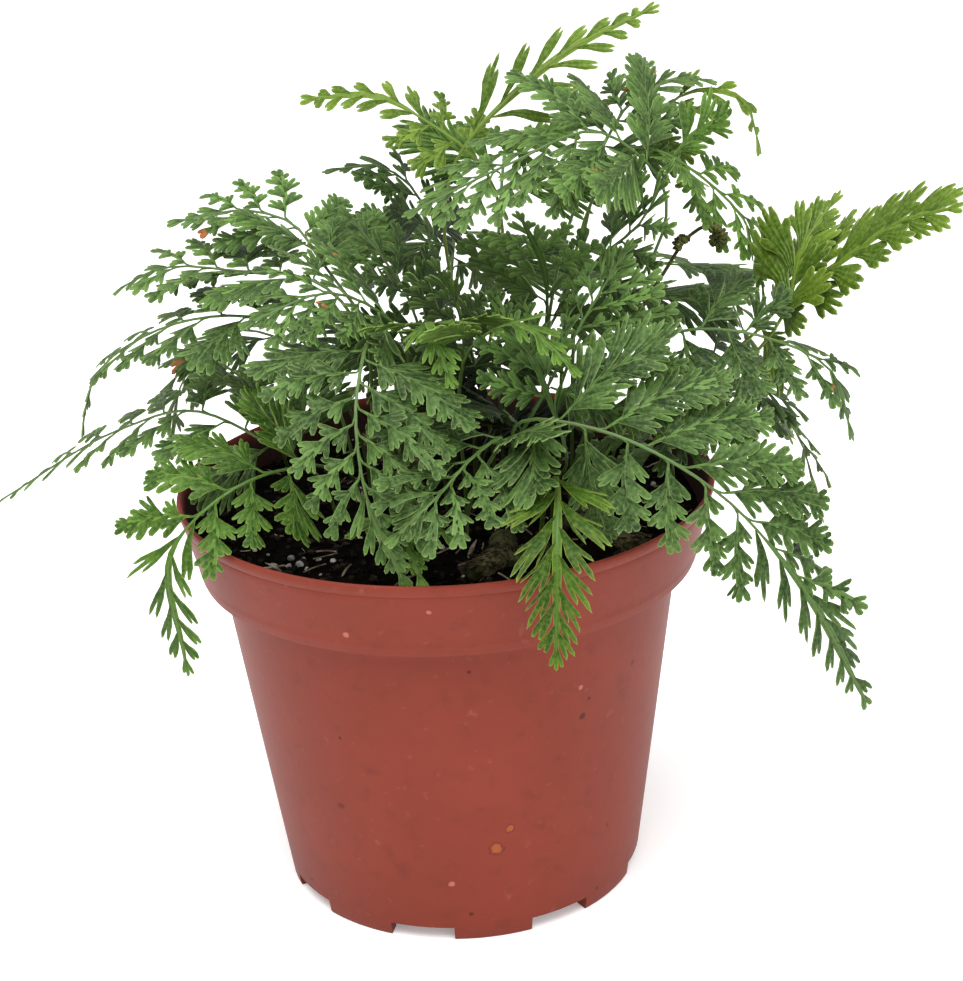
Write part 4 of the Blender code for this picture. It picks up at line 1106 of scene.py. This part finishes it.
def pot_profile():
    """Half of the pot's section: underside, foot, wall, band, lip and the inside."""
    foot = BASE_RADIUS - FOOT_WIDTH
    band_foot, band_top = POT_HEIGHT - BAND_HEIGHT, POT_HEIGHT - LIP_HEIGHT
    band_start = (BAND_FOOT_RADIUS + 0.44, band_foot + 2.7)
    band_end = (RIM_RADIUS - 0.62, band_top)
    floor_top = FLOOR_HEIGHT + FLOOR_THICKNESS
    return [
        (0.0, FLOOR_HEIGHT), (foot, FLOOR_HEIGHT), (foot, 0.2), (foot + 0.2, 0.0),
        *beside(BASE_RADIUS, 0.0, (-0.5, 0.0), (-0.12, 0.12), (0.07, 0.5)),
        *slope((BASE_RADIUS, 0.0), (BODY_TOP_RADIUS, band_foot), BODY_STEPS),
        *beside(BODY_TOP_RADIUS, band_foot, (0.0, -0.5), (0.35, 0.0)),
        *beside(BAND_FOOT_RADIUS, band_foot, (-0.6, 0.15), (-0.15, 0.35), (0.08, 0.9)),
        *beside(BAND_FOOT_RADIUS, band_foot, (0.30, 1.9), (0.42, 2.2)),
        band_start, *slope(band_start, band_end, BAND_STEPS), band_end,
        *beside(RIM_RADIUS, band_top, (-0.66, 0.25), (-0.35, 0.6)),
        *beside(RIM_RADIUS, POT_HEIGHT, (-0.10, -1.2), (0.0, -0.6), (-0.12, -0.2)),
        *beside(RIM_RADIUS, POT_HEIGHT, (-0.45, 0.0), (-0.85, -0.05)),
        *beside(RIM_RADIUS - WALL, POT_HEIGHT, (-0.1, -0.45), (-0.35, -1.5)),
        (BAND_FOOT_RADIUS - WALL, band_foot + 0.4 + WALL),
        (BODY_TOP_RADIUS - WALL, band_foot + WALL),
        (BASE_RADIUS - WALL, floor_top), (0.0, floor_top),
    ]


def pot_material():
    """Moulded terracotta-coloured plastic: faint mottling, pale dusty patches, specks and scuffs, and an
    inner wall darkened by soil stain and painted shade.
    """
    shader = Shader("pot_plastic", 0.5, 0.15)
    mottle = shader.mapped(shader.noise(38.0, 5.0), 0.3, 0.75)
    body = shader.mixed(mottle, *(tuple(c * part for c in POT_COLOUR) for part in (0.94, 1.07)))
    dust = shader.mapped(shader.noise(420.0, 4.0), 0.62, 0.8, 0.0, 0.10)
    body, raised = marked(shader, shader.mixed(dust, body, DUST_COLOUR))
    ragged = shader.math("MULTIPLY", shader.noise(260.0, 4.0), 0.25)
    # Inner wall darkened from just below the lip: soil stain and painted shade
    stain_and_shade_mask = shader.mapped(shader.math("ADD", shader.value("inner"), ragged), 0.12, 0.34, 0.0, 0.92)
    shader.colour(shader.mixed(stain_and_shade_mask, body, SOIL_STAIN_AND_SHADE_COLOUR))
    grain = shader.math("ADD", shader.noise(1500.0, 2.0), shader.math("MULTIPLY", shader.noise(60.0), 2.0))
    shader.bump(shader.math("ADD", grain, shader.math("MULTIPLY", raised, 6.0)), 0.12, 0.3)
    return shader.material


def marked(shader, body):
    """The pot's colour with its marks, and where a mark is raised."""
    uneven = shader.math("MULTIPLY", shader.math("SUBTRACT", shader.noise(700.0), 0.5), MM)
    raised = 0.0
    for angle, height, size, kind in POT_MARKS:
        turn = math.radians(angle)
        radius = pot_inside(height) + WALL / 2
        away = shader.distance(Vector((radius * math.sin(turn), -radius * math.cos(turn), height)))
        away = shader.math("ADD", away, shader.math("MULTIPLY", uneven, size * 1.6))
        share = shader.mapped(away, size * 0.55 * MM, size * 1.05 * MM, 1.0, 0.0)
        if kind == "blister":
            rim = shader.mapped(away, size * 1.0 * MM, size * 1.35 * MM, 0.6, 0.0)
            body = shader.mixed(rim, body, MARK_COLOURS["smear"])
            raised = shader.math("ADD", raised, share)
        body = shader.mixed(shader.math("MULTIPLY", share, 0.8), body, MARK_COLOURS[kind])
    return body, raised


def inner_stain_and_shade(place):
    """How far a point of the pot lies below the lip on its inside, where soil stain and painted shade darken
    it.
    """
    if place.z < FLOOR_HEIGHT + 0.5 or math.hypot(place.x, place.y) > pot_inside(place.z):
        return 0.0
    return min(1.0, (POT_HEIGHT - place.z) / (BAND_HEIGHT - 2.0))


def pot_inside(height):
    """A radius between the pot's inner and outer skins at a height."""
    band_foot = POT_HEIGHT - BAND_HEIGHT
    if height > band_foot + 0.4 + WALL / 2:
        return mix(BAND_FOOT_RADIUS, RIM_RADIUS, (height - band_foot) / BAND_HEIGHT) - WALL * 0.6
    return mix(BASE_RADIUS, BODY_TOP_RADIUS, height / band_foot) - WALL / 2


def notch_outline(turn):
    """Corners of the block that cuts one notch into the pot's foot."""
    middle = BASE_RADIUS - FOOT_WIDTH / 2
    x, y = middle * math.sin(turn), -middle * math.cos(turn)
    wide, deep = BASE_RADIUS * math.sin(math.radians(NOTCH_WIDTH_DEG / 2)), FOOT_WIDTH
    return [(x + u * math.cos(turn) - v * math.sin(turn), y + u * math.sin(turn) + v * math.cos(turn))
            for u, v in ((-wide, -deep), (wide, -deep), (wide, deep), (-wide, deep))]


def drain_outline(turn):
    """The round outline of one drain hole."""
    x, y = DRAIN_DISTANCE * math.sin(turn), -DRAIN_DISTANCE * math.cos(turn)
    return circle(DRAIN_RADIUS, DRAIN_SIDES, x, y)


def build_pot():
    """The turned pot with its notches and drain holes cut out."""
    verts, faces = turned(pot_profile(), POT_SIDES)
    pot = add_mesh("pot_shell", verts, faces, [pot_material()], sharp_deg=50.0)
    angles = [math.radians(NOTCH_FIRST_DEG + 360.0 * k / FOOT_COUNT) for k in range(FOOT_COUNT)]
    notches = prisms([notch_outline(angle) for angle in angles], -2.0, FLOOR_HEIGHT - NOTCH_ROOF)
    drains = prisms([drain_outline(angle) for angle in angles], *DRAIN_HEIGHTS)
    cut_out(pot, [add_mesh("notches", *notches, []), add_mesh("holes", *drains, [])])
    pot.data.shade_smooth()
    pot.data.set_sharp_from_angle(angle=math.radians(35.0))
    inner = pot.data.attributes.new("inner", "FLOAT", "POINT")
    inner.data.foreach_set("value", [inner_stain_and_shade(vertex.co / MM) for vertex in pot.data.vertices])
    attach(pot, "root")
    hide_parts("pot")


def soil_height(x, y):
    """The soil's top: a low mound with shallow bumps."""
    distance = math.hypot(x, y) / RIM_RADIUS
    mound = mix(SOIL_MIDDLE_HEIGHT, SOIL_EDGE_HEIGHT, min(1.0, distance) ** 2)
    return mound + SOIL_BUMP * math.sin(x * 0.21) * math.cos(y * 0.17)


def rough_height(x, y):
    """The soil's top with its crumbly unevenness."""
    coarse = noise.noise(Vector((x * 0.16, y * 0.16, 3.0)))
    fine = noise.noise(Vector((x * 0.7, y * 0.7, 9.0)))
    return soil_height(x, y) - 0.3 + 0.55 * coarse + 0.45 * fine


def soil_material():
    shader = Shader("soil", 0.95, 0.02)
    clods = shader.mapped(shader.noise(500.0, 6.0, 0.7), 0.35, 0.75)
    shader.colour(shader.mixed(clods, *SOIL_COLOURS))
    shader.bump(shader.noise(900.0, 6.0, 0.75), 1.0, 0.8)
    return shader.material


def fan_faces(sides):
    """Faces from point 0 to the first ring after it."""
    return [(0, 1 + k, 1 + (k + 1) % sides) for k in range(sides)]


def build_soil():
    """The soil's rough top and its side down to where the pot hides it."""
    verts = [(0.0, 0.0, rough_height(0.0, 0.0))]
    for ring in range(1, SOIL_RINGS + 1):
        points = circle(SOIL_RADIUS * ring / SOIL_RINGS, SOIL_SIDES)
        verts += [(x, y, rough_height(x, y)) for x, y in points]
    lower = len(verts)
    verts += [(x, y, SOIL_BOTTOM) for x, y in circle(SOIL_RADIUS - 1.8, SOIL_SIDES)]
    faces = fan_faces(SOIL_SIDES) + ring_faces(SOIL_RINGS + 1, SOIL_SIDES, 1)
    faces.append(tuple(reversed(range(lower, len(verts)))))
    top = add_mesh("soil_top", verts, faces, [soil_material()], sharp_deg=60.0)
    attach(top, "root")
    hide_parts("soil")


def lump(draw, place, size, squash, rings=3, sides=6):
    """An irregular grain: a low ball with uneven radii."""
    verts = [place + Vector((0.0, 0.0, size * squash))]
    turn = draw.uniform(0, math.pi)
    for ring in range(1, rings + 1):
        polar = math.pi * ring / (rings + 1)
        for k in range(sides):
            angle = 2 * math.pi * k / sides + turn
            radius = size * draw.uniform(0.72, 1.15)
            verts.append(place + Vector((radius * math.sin(polar) * math.cos(angle),
                                         radius * math.sin(polar) * math.sin(angle),
                                         radius * squash * math.cos(polar))))
    verts.append(place - Vector((0.0, 0.0, size * squash)))
    last = len(verts) - 1
    low = last - sides
    faces = fan_faces(sides) + ring_faces(rings, sides, 1)
    faces += [(low + k, last, low + (k + 1) % sides) for k in range(sides)]
    return verts, faces


def joined(pieces):
    """Several loose meshes as one."""
    verts, faces = [], []
    for piece_verts, piece_faces in pieces:
        first = len(verts)
        verts += list(piece_verts)
        faces += [tuple(first + k for k in face) for face in piece_faces]
    return verts, faces


def on_soil(x, y):
    return Vector((x, y, rough_height(x, y)))


def scattered(draw, margin):
    """A random place on the soil."""
    radius = (SOIL_RADIUS - margin) * math.sqrt(draw.random())
    angle = draw.uniform(0, 2 * math.pi)
    return on_soil(radius * math.cos(angle), radius * math.sin(angle))


def grain_material(name):
    """A rough surface between the two colours of a kind of grain."""
    dark, light, roughness, specular = GRAIN_LOOKS[name]
    shader = Shader(name, roughness, specular)
    shader.colour(shader.mixed(shader.mapped(shader.noise(350.0, 4.0), 0.35, 0.7), dark, light))
    shader.bump(shader.noise(1400.0, 4.0), 0.7, 0.3)
    return shader.material


def perlite_grains(draw):
    """White grains: small ones all over, and the larger ones at the front."""
    grains = []
    for _ in range(PERLITE_COUNT):
        size = draw.uniform(0.25, 0.85)
        place = scattered(draw, SOIL_MARGIN)
        grains.append(lump(draw, place + UP * size * 0.35, size, draw.uniform(0.6, 0.9)))
    for x, y, size in PERLITE_PLACES:
        grains.append(lump(draw, on_soil(x, y) + UP * size * 0.2, size * 0.8, 0.7))
    return grains


def moss_cushions(draw):
    return [lump(draw, on_soil(x, y) + UP * size * 0.3, size, 0.75, 7, 12) for x, y, size in MOSS_PLACES]


def soil_crumbs(draw):
    crumbs = []
    for _ in range(CRUMB_COUNT):
        size = draw.uniform(0.35, 1.3) * draw.uniform(0.6, 1.0)
        place = scattered(draw, SOIL_MARGIN)
        crumbs.append(lump(draw, place + UP * size * 0.3, size, draw.uniform(0.5, 0.9), 2, 5))
    return crumbs


def root_fibres(draw):
    """Thin bent fibres all over the soil."""
    fibres = []
    for _ in range(FIBRE_COUNT):
        place = scattered(draw, FIBRE_MARGIN) + UP * 0.4
        turn, length = draw.uniform(0, 2 * math.pi), draw.uniform(2.0, 6.0)
        along = Vector((math.cos(turn), math.sin(turn), draw.uniform(-0.05, 0.35)))
        bend = Vector((-along.y, along.x, 0.3)) * draw.uniform(-1.2, 1.2)
        line = Rib((place, place + along * length * 0.5 + bend * 0.5, place + along * length))
        fibres.append(round_tube(line, [draw.uniform(0.07, 0.2)] * 6, 5))
    return fibres


def bark_chips():
    """Tapering chips that stand up out of the soil."""
    chips = []
    for x, y, turn_deg, length, thick in CHIP_PLACES:
        turn = math.radians(turn_deg)
        along = Vector((math.cos(turn), math.sin(turn), 0.35))
        place = on_soil(x, y) + UP * 0.3
        line = Rib((place, place + along * length * 0.5 + UP * 0.3, place + along * length))
        chips.append(round_tube(line, [thick * part for part in CHIP_FORM], 6))
    return chips


def build_grains():
    """Perlite, soil crumbs, bark chips, pale root fibres and moss on the soil."""
    draw = random.Random("grains")
    perlite = perlite_grains(draw)
    moss = moss_cushions(draw)
    crumbs = soil_crumbs(draw)
    fibres = root_fibres(draw) + bark_chips()
    for kind, made in (("perlite", perlite), ("crumbs", crumbs), ("fibres", fibres), ("moss", moss)):
        piece = add_mesh("soil_" + kind, *joined(made), [grain_material(kind)], sharp_deg=38.0)
        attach(piece, "root")


def round_tube(line, radii, sides):
    """A closed round tube with a radius at each of its evenly spaced rings."""
    verts = []
    steps = len(radii) - 1
    side = None
    for step, radius in enumerate(radii):
        place, along = line.at(step / steps)
        if side is None:
            side = along.orthogonal()
        side = (side - along * side.dot(along)).normalized()
        other = along.cross(side)
        for k in range(sides):
            angle = 2 * math.pi * k / sides
            verts.append(place + (side * math.cos(angle) + other * math.sin(angle)) * radius)
    faces = ring_faces(steps + 1, sides, rising=True)
    faces.append(tuple(reversed(range(sides))))
    faces.append(tuple(range(steps * sides, (steps + 1) * sides)))
    return verts, faces


def rhizome_line(name):
    route, _, _ = RHIZOMES[name]
    return Rib([(x, y, soil_height(x, y) + RHIZOME_RISE) for x, y in route])


def rounded(past):
    """The share of its radius that a rhizome keeps near an end."""
    return math.sqrt(max(0.02, 1.0 - max(0.0, past) ** 2))


def rhizome_radii(draw, thick, thin):
    """Radii of a knobbly stem with rounded ends."""
    radii = []
    for ring in range(RHIZOME_RINGS + 1):
        share = ring / RHIZOME_RINGS
        far_end, near_end = rounded((share - 0.88) / 0.12), rounded((0.12 - share) / 0.12)
        knob = 1.0 + 0.06 * math.sin(share * 26.0) + draw.uniform(-0.03, 0.03)
        radii.append(mix(thick, thin, share) * far_end * near_end * knob * 0.94)
    return radii


def build_rhizomes():
    """Knobbly creeping stems covered in papery scales."""
    finishes = [grain_material("rhizome"), grain_material("rhizome_scale")]
    for name, (_, thick, thin) in RHIZOMES.items():
        draw = random.Random(name)
        line = rhizome_line(name)
        body = round_tube(line, rhizome_radii(draw, thick, thin), 16)
        flakes = joined([scale_flake(draw, line, mix(thick, thin, 0.5)) for _ in range(FLAKE_COUNT)])
        verts, faces = joined([body, flakes])
        kinds = [0] * len(body[1]) + [1] * len(flakes[1])
        piece = add_mesh(name + "_bark", verts, faces, finishes, kinds, sharp_deg=60.0)
        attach(piece, "root")
        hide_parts(name)


def scale_flake(draw, line, radius):
    """One pointed papery scale that lies against the rhizome."""
    share = draw.uniform(0.04, 0.95)
    place, along = line.at(share)
    side = along.cross(UP).normalized()
    turn = draw.uniform(-0.25, math.pi + 0.25)
    out = side * math.cos(turn) + along.cross(side) * -math.sin(turn)
    out = out if out.z > -0.3 else -out
    across = along.cross(out).normalized()
    root = place + out * radius * 0.90
    length, half = draw.uniform(1.2, 2.4), draw.uniform(0.25, 0.5)
    tip = root + along * length + out * draw.uniform(0.15, 0.8)
    left, right = root + across * half, root - across * half
    verts = [left, right, tip, left + out * 0.12, right + out * 0.12, tip + out * 0.05]
    return verts, [(0, 1, 2), (5, 4, 3), (0, 3, 4, 1), (1, 4, 5, 2), (2, 5, 3, 0)]


def crozier_points():
    """The stem, the first part of the solid's coil, and the small tight coil that ends it."""
    stem = [Vector(p) for p in CROZIER_STEM]
    along = (stem[-1] - stem[-2]).normalized()
    along = Vector((along.x, along.y, along.z * 0.5)).normalized()
    down = Vector((along.x * along.z, along.y * along.z, -math.hypot(along.x, along.y)))
    down = (down - along * down.dot(along)).normalized()
    centre = stem[-1] + along * 1.5 + down * CROZIER_COIL_RADIUS
    for degrees in (15, 40, 65):
        angle = math.radians(degrees)
        stem.append(centre + (along * math.sin(angle) - down * math.cos(angle)) * CROZIER_COIL_RADIUS)
    knot = centre + along * (CROZIER_COIL_RADIUS - CROZIER_KNOT_RADIUS)
    for step in range(CROZIER_COIL_POINTS + 1):
        share = step / CROZIER_COIL_POINTS
        angle = math.pi / 2 + share * CROZIER_TURNS * 2 * math.pi
        radius = CROZIER_KNOT_RADIUS * (1.0 - 0.72 * share)
        stem.append(knot + (along * math.sin(angle) - down * math.cos(angle)) * radius)
    return stem, knot


def curled_buds(draw, line, shares, inner, reach, count):
    """Unopened leaflets, each curled in from the side of a coiled stem."""
    pieces = []
    for k in range(count):
        place, along = line.at(mix(*shares, k / (count - 1)))
        inward = (inner - place).normalized()
        side = along.cross(inward).normalized() * (1 if k % 2 else -1)
        size = reach * draw.uniform(0.7, 1.15)
        outer = place - inward * size * 0.35 + side * size * 0.6 + along * size * 0.3
        fold = place + side * size * 0.95 + inward * size * 0.3
        tip = place + side * size * 0.4 + inward * size * 0.5
        thick = draw.uniform(0.26, 0.42)
        pieces.append(round_tube(Rib((place, outer, fold, tip)), [thick * part for part in BUD_FORM], 6))
    return pieces


def build_crozier():
    """The rolled-up young frond: a small coil and, before it, a first pair of curled branches."""
    draw = random.Random("crozier")
    points, knot = crozier_points()
    line = Rib(points)
    slimming = [min(1.0, ring / CROZIER_TAPER_RINGS) for ring in range(CROZIER_RINGS)]
    pieces = [round_tube(line, [CROZIER_RADIUS * mix(0.95, 0.45, share) for share in slimming], 10)]
    pieces += curled_buds(draw, line, (0.84, 0.995), knot, reach=1.35, count=34)
    bend, along = line.at(0.76)
    for turn in (-1.0, 1.0):
        side = along.cross(UP).normalized() * turn
        tip = bend + side * 1.5 + UP * 0.9 - along * 1.6
        branch = Rib((bend, bend + side * 0.9 + UP * 0.9, tip, tip - UP * 0.9 + along * 0.3))
        pieces.append(round_tube(branch, BRANCHLET_RADII, 6))
        pieces += curled_buds(draw, branch, (0.2, 0.98), bend - UP * 0.4, reach=1.0, count=10)
    piece = add_mesh("crozier_coil", *joined(pieces), [grain_material("crozier")], sharp_deg=60.0)
    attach(piece, "root")
    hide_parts("crozier")


def add_floor():
    """A wide white stage floor that glows faintly."""
    shader = Shader("floor", 0.9, 0.1)
    faint = shader.mapped(shader.noise(6.0), 0.3, 0.7)
    shader.colour(shader.mixed(faint, (0.90, 0.90, 0.90), (0.93, 0.93, 0.93)))
    set_inputs(shader.surface, {"Emission Color": WHITE, "Emission Strength": FLOOR_GLOW})
    side, far = FLOOR_SIZE, FLOOR_SIZE * 2
    corners = [(-side, -side, 0.0), (side, -side, 0.0), (side, far, 0.0), (-side, far, 0.0)]
    add_mesh("floor", corners, [(0, 1, 2, 3)], [shader.material])


def add_area_light(name, place, size, power):
    light = bpy.data.lights.new(name, "AREA")
    light.shape = "DISK"
    light.size = size
    light.energy = power
    holder = bpy.data.objects.new(name, light)
    holder.location = Vector(place)
    holder.rotation_euler = (Vector(LIGHT_TARGET) - Vector(place)).to_track_quat("-Z", "Y").to_euler()
    bpy.context.scene.collection.objects.link(holder)


def add_lights():
    """An even white surrounding with a large light above and a weak one at the side."""
    world = bpy.data.worlds.new("studio")
    world.use_nodes = True
    set_inputs(world.node_tree.nodes["Background"], {"Color": WHITE, "Strength": WORLD_STRENGTH})
    bpy.context.scene.world = world
    for name, (place, size, power) in LIGHTS.items():
        add_area_light(name, place, size, power)
    bpy.context.scene.view_settings.view_transform = "Standard"


def add_camera():
    """The camera at the photograph's own view."""
    ahead = (CAMERA_TARGET - CAMERA_PLACE).normalized()
    right = ahead.cross(UP).normalized()
    above = right.cross(ahead)
    roll = math.radians(CAMERA_ROLL_DEG)
    across = right * math.cos(roll) + above * math.sin(roll)
    above = above * math.cos(roll) - right * math.sin(roll)
    data = bpy.data.cameras.new("photo_view")
    data.sensor_width = SENSOR
    data.lens = FOCAL_PIXELS * SENSOR / IMAGE_HEIGHT
    data.clip_start = 0.01
    holder = bpy.data.objects.new("photo_view", data)
    bpy.context.scene.collection.objects.link(holder)
    for row in range(3):
        for column, axis in enumerate((across, above, -ahead)):
            holder.matrix_world[row][column] = axis[row]
        holder.matrix_world[row][3] = CAMERA_PLACE[row] * MM
    bpy.context.scene.camera = holder


def main():
    add_camera()
    add_lights()
    add_floor()
    build_pot()
    build_soil()
    build_grains()
    build_rhizomes()
    build_crozier()
    leaves = {look: leaf_material(look) for look in LEAF_COLOURS}
    stalks = {look: stalk_material(look) for look in LEAF_COLOURS}
    for frond in FRONDS:
        build_frond(frond, leaves[frond.look], stalks[frond.look])


main()
